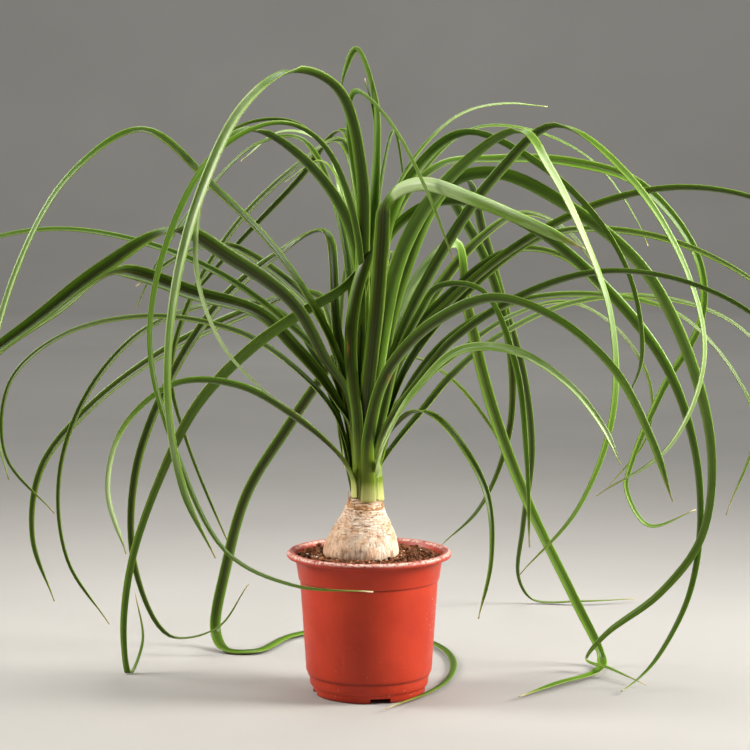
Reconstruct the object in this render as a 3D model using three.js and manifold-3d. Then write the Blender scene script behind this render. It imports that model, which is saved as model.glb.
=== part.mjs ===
// A ponytail palm in its nursery pot: a swollen woody base set in soil, and a fountain of long strap leaves.
// Millimetres, +Z up. The origin is the centre of the pot's underside, on the surface that it stands on.
import * as THREE from 'three';
import { mergeVertices } from 'three/addons/utils/BufferGeometryUtils.js';
import Module from 'manifold-3d';

const wasm = await Module();
wasm.setup();

// Pot
const RIM_RADIUS = 60;
const RIM_TOP = 105;
const RIM_UNDERSIDE = 100.7;
const WALL_TOP_RADIUS = 54;
const BAND_BOTTOM = 85;
const BAND_BOTTOM_RADIUS = 51.4;
const WALL_BOTTOM = 17;
const WALL_BOTTOM_RADIUS = 46;
const STEP_TOP = 14;
const STEP_TOP_RADIUS = 43.9;
const STEP_BOTTOM = 7;
const STEP_BOTTOM_RADIUS = 43.2;
const FOOT_TOP = 5;
const FOOT_TOP_RADIUS = 41.2;
const FOOT_RADIUS = 40.8;
const FOOT_RING = 2.4;
const POT_WALL = 1.4;
const RECESS_HEIGHT = 3.4;
const FLOOR_THICKNESS = 1.6;
const PAD_RADIUS = 11;
const POT_SIDES = 40;
const NOTCH_COUNT = 4;
const NOTCH_WIDTH = 15;
const FRONT_NOTCH_DEG = -78;
const DRAIN_COUNT = 6;
const DRAIN_RADIUS = 4;
const DRAIN_CIRCLE = 26;
const DRAIN_SIDES = 12;

// Soil
const SOIL_TOP = 101.5;
const SOIL_EDGE_DROP = 1.6;
const SOIL_CRUMB = 1.1;
const SOIL_RINGS = 7;
const CLEARANCE = 0.35;

// Woody base and its neck, as height above the surface and radius. It leans a little to the right.
const CAUDEX_AXIS = [-5.9, 0];
const CAUDEX_LEAN = 0.085;
const CAUDEX_SIDES = 32;
const CAUDEX_PROFILE = [
  [76, 0], [77.5, 8], [82, 16], [89, 22.5], [96, 26], [104, 27.5], [109, 26.9], [113, 25.4], [118, 23.2],
  [123, 20.8], [128, 18.2], [133, 15.9], [138, 13.6], [142, 12], [145.5, 9.4], [148.5, 5.4], [150, 0],
];
const CAUDEX_WIDEST = 104;

// Leaves
const CROWN_AXIS = [-2.8, 0];
const SHEATH_TOP = 158;
const AIM_DISTANCE = 80;
const SHEATH_WIDTH = 6;
const SHEATH_ARC = 3.5;
const SHEATH_LAYER = 0.72;
const SHEATH_SPREAD = 0.75;
const SHEATH_THICKNESS = 0.75;
const GROWING_TIP = 149;
const SHEATH_DROP = 6;
const SHEAF_RADIUS = 12;
const SHEAF_SIDES = 24;
const SHEAF_PROFILE = [
  [140, 0], [140, 11], [147, 11.2], [154, 11.8], [160, 13], [167, 14.8], [174, 16], [182, 16.4], [190, 14],
  [197, 10], [203, 5], [206, 0],
];
const SHEAF_CLEARANCE = 0.12;
const HEART_LEAVES = 9;
const BLADE_THICKNESS = 1.25;
const FULL_WIDTH_FROM = 0.16;
const FULL_THICKNESS_FROM = 0.2;
const NARROWS_FROM = 0.35;
const TIP_FROM = 0.93;
const TIP_TAPER = 0.55;
const LEAST_WIDTH = 1.2;
const CHANNEL_SHARE = 0.13;
const SHEATH_POINTS = 2;
const STEPS_PER_SPAN = 8;
const RINGS_PER_SPAN = 2;
const SHOWN_STOPS = { near: 0.2, halfway: 0.55, far: 0.9 };
const ROLL_LENGTH = 30;
const FOLD_ROLL_LENGTH = 7;
const FOLD_REACH = 22;
const ROLL_FROM = 0.05;
const ROLL_FREE = 0.15;
const UPPER_FACE_LEAD = 0.15;
const TOUCHING = 0.04;
const LYING_HEIGHT = 3;
const LEVEL_BELOW = 22;

// Leaf routes are written as a viewer standing in front sees them, on the upright plane through the pot's
// axis, together with the depth behind that plane, so each point is slid along the viewer's line of sight.
const EYE = { x: 4.4, distance: 2000, z: 460 };
const LIES = null;

// Each leaf: its name, blade width, the share of that width which the viewer sees near the crown, halfway and
// near the tip, the share of the width that is left at the tip, and its route from the crown outwards as
// [seen x, depth, seen z]. LIES puts a point on the surface. Where a leaf folds over, its point has a fourth
// number: the share of the width which the viewer sees there.
const LEAVES = [
  ["left_high_arch", 8.5, [0.6, 0.55, 0.75], 0.45, [[-14, 4, 205], [-23, -1, 247], [-64, -36, 319],
    [-110, -48, 367], [-162, -56, 410, 0.35], [-212, -62, 380], [-250, -66, 318], [-276, -66, 225],
    [-268, -64, 180], [-262, -62, 157]]],
  ["left_far_reach", 6, [0.8, 0.65, 0.65], 0.35, [[-27, 13, 235], [-60, 30, 272], [-108, 42, 307],
    [-165, 52, 330], [-225, 60, 339], [-280, 66, 329], [-322, 70, 300], [-345, 72, 255], [-352, 72, 210]]],
  ["left_broad_front", 12.5, [0.6, 0.9, 0.95], 0.45, [[-12.5, -7, 192], [-18, -8, 222], [-32, -14, 243],
    [-55, -28, 284], [-100, -50, 318], [-139, -64, 338, 0.25], [-190, -76, 312], [-240, -84, 274],
    [-290, -90, 234], [-318, -92, 190], [-328, -92, 150]]],
  ["left_broad_middle", 12, [0.5, 0.85, 0.9], 0.35, [[-15, -2, 198], [-23, -2, 212], [-35, 0, 231],
    [-53, 2, 252], [-80, 12, 278], [-125, 16, 292], [-182, 20, 308, 0.25], [-225, 24, 281], [-275, 28, 246],
    [-312, 30, 195], [-315, 30, 130], [-298, 28, 75], [-272, 24, 38]]],
  ["left_dim_low", 5.5, [0.8, 0.75, 0.8], 0.35, [[-16.5, 0, 183], [-26, 6, 207], [-50, 30, 235],
    [-95, 76, 265], [-160, 98, 276], [-222, 112, 262], [-260, 118, 228], [-264, 116, 175],
    [-229, 108, 132]]],
  ["left_dim_thin", 6, [0.8, 0.85, 0.9], 0.35, [[-36, 25, 240], [-66, 70, 280], [-112, 122, 285],
    [-165, 148, 264], [-205, 166, 218], [-225, 176, 160], [-220, 176, 98], [-190, 168, 50]]],
  ["back_dark_broad", 10, [0.9, 0.9, 0.8], 0.4, [[-23, 31, 260], [-40, 82, 292], [-90, 138, 278],
    [-150, 176, 249], [-205, 200, 207], [-238, 214, 165], [-245, 218, 115], [-230, 214, 67]]],
  ["front_big_arch", 10.5, [0.95, 0.65, 0.75], 0.5, [[-5, -14, 310], [-6, -34, 380], [-22, -62, 438],
    [-55, -92, 452, 0.4], [-90, -118, 426], [-122, -140, 360], [-140, -156, 290], [-145, -168, 215],
    [-134, -174, 148], [-112, -174, 99]]],
  ["left_rise_thin_tail", 11, [0.95, 0.4, 0.5], 0.15, [[-10, -10, 325], [-38, -24, 379],
    [-85, -44, 410, 0.35], [-112, -60, 388], [-124, -74, 315], [-108, -86, 260], [-78, -92, 224],
    [-50, -94, 204]]],
  ["front_low_sweep", 6.5, [0.7, 0.7, 0.8], 0.3, [[-8, -20, 330], [-32, -48, 398], [-65, -78, 415],
    [-110, -104, 393], [-145, -124, 330], [-158, -134, 255], [-140, -138, 178], [-104, -132, 104],
    [-55, -116, 79], [3, -104, 74]]],
  ["left_steep", 6, [0.9, 0.6, 0.7], 0.35, [[-20, 19, 340], [-48, 40, 403], [-80, 54, 400],
    [-115, 64, 368], [-145, 70, 328], [-168, 74, 283]]],
  ["left_inner_thin", 7, [0.9, 0.8, 0.7], 0.3, [[-5, 28, 330], [-20, 44, 402], [-50, 70, 385],
    [-95, 98, 342], [-130, 118, 285], [-143, 130, 235], [-132, 144, 185], [-99, 154, 101]]],
  ["left_inner_back", 7, [0.9, 0.9, 0.9], 0.35, [[-8, 36, 345], [-19, 58, 410], [-50, 84, 375],
    [-95, 108, 328], [-133, 122, 285]]],
  ["left_low_bow", 6, [0.95, 0.8, 0.9], 0.5, [[-20, -16, 172], [-55, -44, 204], [-95, -66, 226],
    [-140, -82, 227], [-178, -92, 195], [-190, -96, 150], [-177, -94, 102]]],
  ["left_floor_bright", 9.5, [0.95, 0.8, 0.8], 0.35, [[-8.5, -14, 184], [-9.5, -16, 205], [-12.5, -17, 230],
    [-13.5, -18, 258], [-10, -18, 290], [-2, -18, 318], [1, -13, 326, 0.2], [-6, -7, 313], [-20, -4, 297],
    [-50, -4, 279], [-85, 0, 254], [-125, 14, 212], [-154, 28, 155], [-174, 42, 95], [-180, 54, 42],
    [-176, 60, 13], [-166, 64, 38], [-171, 66, 74]]],
  ["back_floor_sweep", 9, [0.9, 0.9, 0.6], 0.3, [[-8, 24, 225], [-15, 39, 254], [-36, 70, 228],
    [-60, 90, 193], [-88, 114, 147], [-104, 140, 92], [-112, 158, 46], [-104, LIES, 32], [-84, LIES, 31],
    [-55, LIES, 43], [0, LIES, 50], [47, LIES, 37], [61, LIES, 25], [58, LIES, 10], [44, LIES, 0],
    [12, LIES, -13]]],
  ["left_back_fold", 8.5, [0.6, 0.9, 0.8], 0.3, [[-24, 20, 268], [-32, 48, 337, 0.45], [-66, 74, 320],
    [-107, 96, 286], [-145, 114, 228], [-170, 124, 160], [-170, 128, 90], [-146, 128, 42], [-112, 126, 47],
    [-88, 122, 80]]],
  ["left_short_brown", 5.5, [0.8, 0.6, 0.6], 0.35, [[-14, 14, 350], [-34, 24, 388], [-60, 34, 373]]],
  ["left_highlight", 7, [0.9, 0.8, 0.7], 0.35, [[-16, 36, 332], [-32, 80, 399], [-62, 100, 409],
    [-92, 116, 388]]],
  ["left_upper_thin", 4.5, [0.8, 0.6, 0.8], 0.4, [[-9, -6, 345], [-32, -18, 398], [-58, -28, 417],
    [-98, -38, 410], [-131, -46, 362]]],
  ["left_behind_broad", 9, [0.9, 0.9, 0.9], 0.35, [[-26, 36, 258], [-60, 80, 302], [-105, 108, 328],
    [-135, 124, 320], [-168, 134, 298]]],
  ["front_thin_fall", 5, [0.8, 0.7, 0.8], 0.4, [[-7, -12, 350], [-15, -26, 412], [-10, -48, 438],
    [14, -72, 417], [40, -96, 370], [61, -114, 317]]],
  ["front_top_loop", 9, [0.9, 0.8, 0.6], 0.35, [[-12, -9, 225], [-12, -11, 260], [0, -12, 325],
    [5, -10, 390], [4, -6, 432], [-9, 2, 468], [-18, 10, 450], [-20, 14, 436]]],
  ["heart_tip_short", 5, [0.8, 0.7, 0.6], 0.3, [[3, -2, 300], [6, -3, 370], [4, -4, 420], [-3, -6, 447]]],
  ["heart_small_loop", 4.5, [0.8, 0.8, 0.8], 0.35, [[4, 8, 310], [8, 14, 368], [18, 22, 410],
    [26, 28, 370]]],
  ["front_broad_bright", 11.5, [0.9, 0.95, 1], 0.55, [[-4, -13, 202], [-1.5, -21, 227], [5, -34, 282],
    [9, -42, 335], [11, -50, 356, 0.22], [20, -62, 367], [40, -84, 372], [75, -112, 361], [115, -136, 344],
    [155, -154, 325]]],
  ["right_upper_thin", 4, [0.8, 0.6, 0.7], 0.4, [[9, 12, 330], [28, 26, 383], [63, 42, 420], [95, 54, 429],
    [128, 64, 427]]],
  ["right_long_thin", 4, [0.8, 0.6, 0.6], 0.4, [[12, 26, 320], [40, 50, 381], [75, 72, 411],
    [120, 94, 409], [163, 110, 386], [193, 120, 345], [201, 124, 327]]],
  ["right_front_drop", 9.5, [1, 0.65, 0.6], 0.35, [[14, -12, 340], [44, -26, 393], [72, -38, 408, 0.4],
    [125, -54, 383], [167, -66, 342], [190, -76, 298], [197, -84, 245], [187, -88, 215]]],
  ["right_broad_fold", 11, [1, 0.45, 0.5], 0.35, [[2, -10, 208], [6, -20, 240], [24, -37, 322],
    [60, -68, 377], [109, -86, 409, 0.3], [128, -98, 384], [153, -114, 335], [174, -128, 275],
    [176, -140, 205], [152, -146, 137], [110, -146, 87]]],
  ["back_floor_far", 8, [0.9, 0.9, 0.7], 0.35, [[10, 38, 290], [40, 70, 350], [68, 110, 376],
    [82, 160, 336], [96, 204, 288], [112, 240, 232], [118, 268, 178], [112, 296, 124], [109, 322, 84],
    [120, LIES, 68], [155, LIES, 67], [195, LIES, 69]]],
  ["back_fold_fall", 7.5, [0.9, 0.9, 0.7], 0.4, [[24, 22, 300], [52, 56, 368], [64, 88, 352],
    [88, 120, 306], [103, 146, 240], [100, 160, 185], [80, 164, 136], [52, 158, 108]]],
  ["right_floor_fold", 10.5, [0.4, 0.85, 0.8], 0.35, [[14, -3, 250], [36, 8, 304], [62, 24, 328, 1],
    [70, 38, 284], [88, 52, 212], [115, 66, 140], [148, 78, 72], [170, 88, 26], [166, LIES, 14],
    [140, LIES, 6], [110, LIES, -4]]],
  ["right_cut_short", 6.5, [0.9, 0.8, 0.7], 0.5, [[12, -16, 212], [20, -29, 244], [38, -50, 280],
    [50, -53, 297], [82, -72, 294], [106, -88, 240], [114, -98, 175], [117, -104, 107]]],
  ["right_flat_top_loop", 8.5, [0.6, 0.95, 0.8], 0.35, [[18, 22, 345], [50, 36, 384], [90, 48, 389],
    [145, 60, 387], [195, 72, 371], [236, 82, 320], [240, 88, 275], [212, 94, 222], [190, 98, 168],
    [187, 99, 150], [204, 100, 123], [238, 100, 135]]],
  ["right_round_loop", 8.5, [0.95, 0.65, 0.5], 0.35, [[20, -16, 252], [52, -40, 320], [92, -64, 378],
    [134, -80, 413, 0.35], [185, -94, 378], [228, -106, 310], [242, -114, 245], [218, -118, 182],
    [165, -118, 145]]],
  ["right_floor_outer", 9, [0.7, 0.95, 0.7], 0.35, [[8, -4, 320], [34, -8, 352], [65, -12, 359],
    [120, -14, 338], [175, -8, 292], [215, 0, 240], [236, 8, 180], [241, 14, 120], [233, 16, 70],
    [212, 12, 27], [198, 4, 10], [185, LIES, 0]]],
  ["right_middle_bend", 8, [0.9, 0.8, 0.7], 0.4, [[22, 9, 250], [58, 24, 292], [100, 28, 323],
    [138, 30, 320], [178, 30, 284]]],
  ["right_dark_back", 9.5, [0.95, 0.9, 0.7], 0.35, [[18, 34, 250], [45, 62, 290], [78, 88, 330],
    [110, 108, 350], [142, 124, 338], [165, 134, 310]]],
  ["right_far_reach", 7, [0.85, 0.8, 0.8], 0.35, [[23, -5, 244], [60, -7, 288], [110, -8, 329],
    [170, -6, 359], [230, -2, 369], [290, 4, 356], [330, 8, 322], [345, 10, 285]]],
  ["right_floor_thick", 10, [0.9, 0.85, 0.7], 0.35, [[10, -14, 240], [26, -24, 306], [58, -38, 371],
    [92, -48, 379], [145, -54, 354], [195, -52, 313], [228, -40, 255], [248, -18, 180], [242, 6, 115],
    [212, 32, 73], [172, 56, 42], [159, 66, 24], [176, 46, 17], [203, LIES, 5]]],
  ["right_low_cut", 9.5, [0.9, 0.8, 0.85], 0.5, [[-0.5, -17, 182], [2.5, -21, 201], [8, -27, 222],
    [18, -37, 242], [48, -74, 272], [90, -104, 289], [135, -128, 274], [178, -144, 236], [205, -154, 186],
    [221, -158, 141]]],
  ["right_low_bright", 7.5, [0.5, 0.8, 0.85], 0.55, [[8, -22, 174], [21, -50, 203], [36, -74, 224],
    [65, -100, 251], [105, -126, 251], [145, -146, 226], [170, -158, 195], [183, -162, 168]]],
  ["right_front_reach", 6.5, [0.9, 0.8, 0.8], 0.35, [[9, -15, 187], [22, -29, 210], [40, -41, 233],
    [60, -54, 258], [110, -70, 291], [165, -92, 308], [225, -124, 302], [278, -134, 277],
    [318, -138, 235]]],
  ["right_edge_return", 6.5, [0.8, 0.6, 0.5], 0.3, [[24, 12, 215], [60, 24, 262], [110, 36, 287],
    [170, 46, 291], [222, 52, 278], [262, 56, 238], [280, 58, 195], [260, 58, 131]]],
  ["right_back_bow", 5.5, [0.8, 0.6, 0.6], 0.35, [[16, 38, 205], [60, 84, 246], [105, 118, 277],
    [145, 142, 286], [180, 158, 266], [203, 168, 228], [202, 174, 190], [174, 174, 151]]],
  ["right_back_reach", 6.5, [0.8, 0.65, 0.7], 0.35, [[9, 3, 168], [20, 14, 184], [40, 32, 209],
    [60, 50, 233], [95, 76, 262], [145, 104, 285], [205, 128, 290], [262, 146, 272], [312, 156, 220]]],
  ["right_upper_reach", 7, [0.8, 0.75, 0.8], 0.35, [[26, 0, 236], [75, 6, 297], [130, 10, 335],
    [195, 14, 336], [255, 18, 315], [305, 20, 278], [330, 20, 240]]],
  ["right_low_front", 6.5, [0.8, 0.8, 0.8], 0.35, [[9, 1, 180], [25, -18, 202], [42, -54, 206],
    [66, -98, 184], [86, -120, 145], [89, -132, 98], [80, -136, 54]]],
  ["back_dim_droop", 6.5, [0.8, 0.8, 0.7], 0.4, [[14, 40, 232], [32, 88, 246], [62, 134, 228],
    [88, 164, 196], [105, 178, 165]]],
  ["back_arch_left", 8, [0.8, 0.8, 0.8], 0.35, [[4, 43, 278], [-5, 104, 330], [-14, 170, 322],
    [-20, 230, 272], [-22, 268, 205], [-18, 280, 165]]],
  ["back_arch_right", 8, [0.8, 0.8, 0.8], 0.35, [[8, 52, 268], [12, 108, 318], [16, 176, 312],
    [14, 236, 262], [8, 270, 200]]],
];

const MATERIALS = {
  pot: new THREE.MeshStandardMaterial({ color: 0xc14a2e, roughness: 0.5, metalness: 0 }),
  soil: new THREE.MeshStandardMaterial({ color: 0x33241a, roughness: 0.95, metalness: 0 }),
  caudex: new THREE.MeshStandardMaterial({ color: 0xb08d61, roughness: 0.85, metalness: 0 }),
  leaf: new THREE.MeshStandardMaterial({ color: 0x4d7d2a, roughness: 0.5, metalness: 0 }),
};

// Solids

function solidFrom(geometry) {
  const bare = geometry.clone();
  bare.deleteAttribute('normal');
  bare.deleteAttribute('uv');
  const merged = mergeVertices(bare, 1e-4);
  const vertProperties = new Float32Array(merged.attributes.position.array);
  const corners = merged.index.array;
  const triVerts = [];
  for (let i = 0; i < corners.length; i += 3) {
    const [a, b, c] = [corners[i], corners[i + 1], corners[i + 2]];
    if (a !== b && b !== c && a !== c) triVerts.push(a, b, c);
  }
  const mesh = new wasm.Mesh({ numProp: 3, vertProperties, triVerts: new Uint32Array(triVerts) });
  return new wasm.Manifold(mesh);
}

function geometryFrom(solid) {
  const mesh = solid.getMesh();
  const geometry = new THREE.BufferGeometry();
  geometry.setAttribute('position', new THREE.BufferAttribute(new Float32Array(mesh.vertProperties), 3));
  geometry.setIndex(new THREE.BufferAttribute(new Uint32Array(mesh.triVerts), 1));
  geometry.computeVertexNormals();
  return geometry;
}

// The main body of a cut or joined solid: a loose scrap is dropped and a hollow that joining seals is filled.
function mainBody(solid) {
  const bodies = solid.decompose();
  return bodies.reduce((largest, body) => (body.volume() > largest.volume() ? body : largest));
}

function turned(profile, sides, [x, y] = [0, 0]) {
  const outline = profile.map(([height, radius]) => new THREE.Vector2(radius, height));
  const geometry = new THREE.LatheGeometry(outline, sides);
  geometry.rotateX(Math.PI / 2);
  geometry.translate(x, y, 0);
  return geometry;
}

// Pot

function potOutside() {
  return [
    [0, FOOT_RADIUS], [FOOT_TOP, FOOT_TOP_RADIUS], [STEP_BOTTOM, STEP_BOTTOM_RADIUS],
    [STEP_TOP, STEP_TOP_RADIUS], [WALL_BOTTOM, WALL_BOTTOM_RADIUS],
    [BAND_BOTTOM - 1, BAND_BOTTOM_RADIUS - 0.8], [BAND_BOTTOM, BAND_BOTTOM_RADIUS],
    [RIM_UNDERSIDE, WALL_TOP_RADIUS],
  ];
}

function potInside(offset) {
  const floorTop = RECESS_HEIGHT + FLOOR_THICKNESS;
  const walls = potOutside().filter(([height]) => height >= STEP_TOP);
  const inside = walls.map(([height, radius]) => [height, radius - POT_WALL - offset]);
  return [[floorTop + offset, FOOT_RADIUS - POT_WALL - offset], ...inside];
}

function makePot() {
  const inside = potInside(0).reverse();
  const lip = [
    [RIM_UNDERSIDE, RIM_RADIUS - 1.2], [RIM_UNDERSIDE + 1.1, RIM_RADIUS], [RIM_TOP - 1.6, RIM_RADIUS],
    [RIM_TOP - 0.3, RIM_RADIUS - 1.2], [RIM_TOP, RIM_RADIUS - 3], [RIM_TOP - 0.5, WALL_TOP_RADIUS + 1],
    [RIM_TOP - 2.5, WALL_TOP_RADIUS - 0.5],
  ];
  const profile = [
    [0, 0], [0, PAD_RADIUS], [RECESS_HEIGHT, PAD_RADIUS + 1], [RECESS_HEIGHT, FOOT_RADIUS - FOOT_RING],
    [0, FOOT_RADIUS - FOOT_RING + 0.3], ...potOutside(), ...lip, ...inside,
    [RECESS_HEIGHT + FLOOR_THICKNESS, 0],
  ];
  let pot = solidFrom(turned(profile, POT_SIDES));
  for (let i = 0; i < NOTCH_COUNT; i += 1) {
    const angle = THREE.MathUtils.degToRad(FRONT_NOTCH_DEG) + (i * 2 * Math.PI) / NOTCH_COUNT;
    const notch = new THREE.BoxGeometry(8, NOTCH_WIDTH, 2 * RECESS_HEIGHT);
    notch.translate(FOOT_RADIUS - FOOT_RING + 3.4, 0, 0);
    notch.rotateZ(angle);
    pot = pot.subtract(solidFrom(notch));
  }
  for (let i = 0; i < DRAIN_COUNT; i += 1) {
    const angle = ((i + 0.5) * 2 * Math.PI) / DRAIN_COUNT;
    const drain = new THREE.CylinderGeometry(DRAIN_RADIUS, DRAIN_RADIUS, 4 * FLOOR_THICKNESS, DRAIN_SIDES);
    drain.rotateX(Math.PI / 2);
    drain.translate(DRAIN_CIRCLE * Math.cos(angle), DRAIN_CIRCLE * Math.sin(angle), RECESS_HEIGHT);
    pot = pot.subtract(solidFrom(drain));
  }
  return mainBody(pot);
}

// Soil, crumbled at the top, with a plain hole for the woody base

function makeSoil() {
  const wall = potInside(CLEARANCE).slice(0, -1);
  const [edgeHeight, edgeRadius] = [SOIL_TOP - SOIL_EDGE_DROP, WALL_TOP_RADIUS - POT_WALL - CLEARANCE - 0.3];
  const top = [];
  for (let i = 0; i < SOIL_RINGS; i += 1) {
    const share = 1 - i / SOIL_RINGS;
    top.push([SOIL_TOP - SOIL_EDGE_DROP * share ** 6, edgeRadius * share]);
  }
  const bottom = RECESS_HEIGHT + FLOOR_THICKNESS + CLEARANCE;
  const profile = [[bottom, 0], ...wall, ...top, [SOIL_TOP, 0]];
  const geometry = turned(profile, POT_SIDES);
  const position = geometry.attributes.position;
  for (let i = 0; i < position.count; i += 1) {
    const [x, y, z] = [position.getX(i), position.getY(i), position.getZ(i)];
    const inner = Math.min(1, (edgeRadius + 1 - Math.hypot(x, y)) / 4);
    const crumbs = Math.sin(0.47 * x + 1.3 * Math.sin(0.31 * y)) * Math.cos(0.53 * y + Math.sin(0.4 * x));
    if (z > edgeHeight - 1) position.setZ(i, z + SOIL_CRUMB * inner * crumbs);
  }
  return mainBody(solidFrom(geometry).subtract(caudexSolid(CLEARANCE)));
}

// Woody base

function caudexSolid(offset) {
  const last = CAUDEX_PROFILE.length - 1;
  const profile = CAUDEX_PROFILE.map(([height, radius], i) => {
    if (i === 0) return [height - offset, 0];
    if (i === last) return [height + offset, 0];
    return [height + offset * Math.sign(height - CAUDEX_WIDEST), radius + offset];
  });
  const geometry = turned(profile, CAUDEX_SIDES, CAUDEX_AXIS);
  const position = geometry.attributes.position;
  for (let i = 0; i < position.count; i += 1) {
    position.setX(i, position.getX(i) + CAUDEX_LEAN * (position.getZ(i) - CAUDEX_WIDEST));
  }
  return solidFrom(geometry);
}

// Leaf routes

function truePoint([seenX, depth, seenZ]) {
  const y = depth ?? EYE.distance * ((EYE.z - LYING_HEIGHT) / (EYE.z - seenZ) - 1);
  const share = (EYE.distance + y) / EYE.distance;
  return new THREE.Vector3(EYE.x + (seenX - EYE.x) * share, y, EYE.z + (seenZ - EYE.z) * share);
}

function readLeaf([name, width, shown, tipShare, route]) {
  const points = route.map(truePoint);
  const folds = route.flatMap(([, , , share], i) => (share === undefined ? [] : [{ point: i, share }]));
  const crown = new THREE.Vector3(...CROWN_AXIS, SHEATH_TOP);
  const aim = points.find((point, i) => i > 0 && point.distanceTo(crown) > AIM_DISTANCE).clone().sub(crown);
  const azimuth = Math.atan2(aim.y, aim.x);
  const rise = Math.atan2(aim.z, Math.hypot(aim.x, aim.y));
  return { name, width, shown, tipShare, points, folds, azimuth, rise };
}

// Sheaths keep the order of their leaves round the crown, but share its circle more evenly than blades do.
function spreadSheaths(leaves) {
  leaves.sort((a, b) => a.azimuth - b.azimuth);
  leaves.forEach((leaf, i) => {
    const even = ((i + 0.5) / leaves.length) * 2 * Math.PI - Math.PI;
    leaf.azimuth += SHEATH_SPREAD * (even - leaf.azimuth);
  });
}

// The steepest leaves are the youngest and stand in the middle. Each next one is laid over those beneath it.
function placeSheaths(leaves) {
  const placed = [];
  spreadSheaths(leaves);
  leaves.sort((a, b) => b.rise - a.rise);
  for (const leaf of leaves) {
    leaf.radius = SHEATH_LAYER;
    for (const inner of placed) {
      const turn = Math.abs(leaf.azimuth - inner.azimuth) % (2 * Math.PI);
      const between = Math.min(turn, 2 * Math.PI - turn) * inner.radius;
      if (between < SHEATH_ARC) leaf.radius = Math.max(leaf.radius, inner.radius + SHEATH_LAYER);
    }
    placed.push(leaf);
  }
}

function routeOf(leaf) {
  const direction = [Math.cos(leaf.azimuth), Math.sin(leaf.azimuth)];
  const onSheath = (radius, height) => new THREE.Vector3(
    CROWN_AXIS[0] + radius * direction[0], CROWN_AXIS[1] + radius * direction[1], height,
  );
  const foot = GROWING_TIP - SHEATH_DROP * (leaf.radius / SHEAF_RADIUS) ** 2;
  return [onSheath(leaf.radius * 0.92, foot), onSheath(leaf.radius, SHEATH_TOP), ...leaf.points];
}

// Blades

function smooth(share) {
  const s = THREE.MathUtils.clamp(share, 0, 1);
  return s * s * (3 - 2 * s);
}

function widthAt(leaf, along) {
  const blade = SHEATH_WIDTH + (leaf.width - SHEATH_WIDTH) * smooth(along / FULL_WIDTH_FROM);
  const narrowing = Math.max(0, (along - NARROWS_FROM) / (1 - NARROWS_FROM)) ** 1.5;
  const tip = 1 - TIP_TAPER * smooth((along - TIP_FROM) / (1 - TIP_FROM));
  return Math.max(LEAST_WIDTH, blade * (1 - (1 - leaf.tipShare) * narrowing) * tip);
}

function shownAt(leaf, along) {
  const [near, halfway, far] = leaf.shown;
  const inner = THREE.MathUtils.inverseLerp(SHOWN_STOPS.near, SHOWN_STOPS.halfway, along);
  const outer = THREE.MathUtils.inverseLerp(SHOWN_STOPS.halfway, SHOWN_STOPS.far, along);
  if (inner < 1) return THREE.MathUtils.lerp(near, halfway, Math.max(0, inner));
  return THREE.MathUtils.lerp(halfway, far, Math.min(1, outer));
}

// The fold that a place on the blade lies in, if any, and how much of a fold it is there
function foldAt(leaf, lengths, i) {
  let found = { share: 1, hold: 0 };
  for (const fold of leaf.folds) {
    const distance = Math.abs(lengths[i] - lengths[(fold.point + SHEATH_POINTS) * STEPS_PER_SPAN]);
    const hold = smooth(1 - distance / FOLD_REACH);
    if (hold > found.hold) found = { share: fold.share, hold };
  }
  return found;
}

// A blade rolls about its own length until the viewer sees the stated share of its width. It rolls the
// shorter way, and of two equal ways the one that shows its upper face.
function rolled(side, tangent, centre, shown, hold) {
  const sight = centre.clone().sub(new THREE.Vector3(EYE.x, -EYE.distance, EYE.z)).normalize();
  const flat = tangent.clone().cross(sight);
  const grip = hold * flat.length();
  flat.normalize();
  const deep = flat.clone().cross(tangent);
  const choices = [];
  for (const face of [1, -1]) {
    for (const lean of [1, -1]) {
      const choice = flat.clone().multiplyScalar(face * shown);
      choice.addScaledVector(deep, lean * Math.sqrt(1 - shown * shown));
      choices.push({ choice, fitness: choice.dot(side) + face * UPPER_FACE_LEAD });
    }
  }
  choices.sort((a, b) => b.fitness - a.fitness);
  return side.lerp(choices[0].choice, grip).normalize();
}

// Near the surface a blade turns flat, so that it lies on its back and not on its edge.
function levelled(side, tangent, height) {
  const share = THREE.MathUtils.clamp((LEVEL_BELOW - height) / LEVEL_BELOW, 0, 1);
  const level = new THREE.Vector3(0, 0, 1).cross(tangent);
  if (level.dot(side) < 0) level.negate();
  side.lerp(level, share * level.length());
  return side.addScaledVector(tangent, -side.dot(tangent)).normalize();
}

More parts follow.
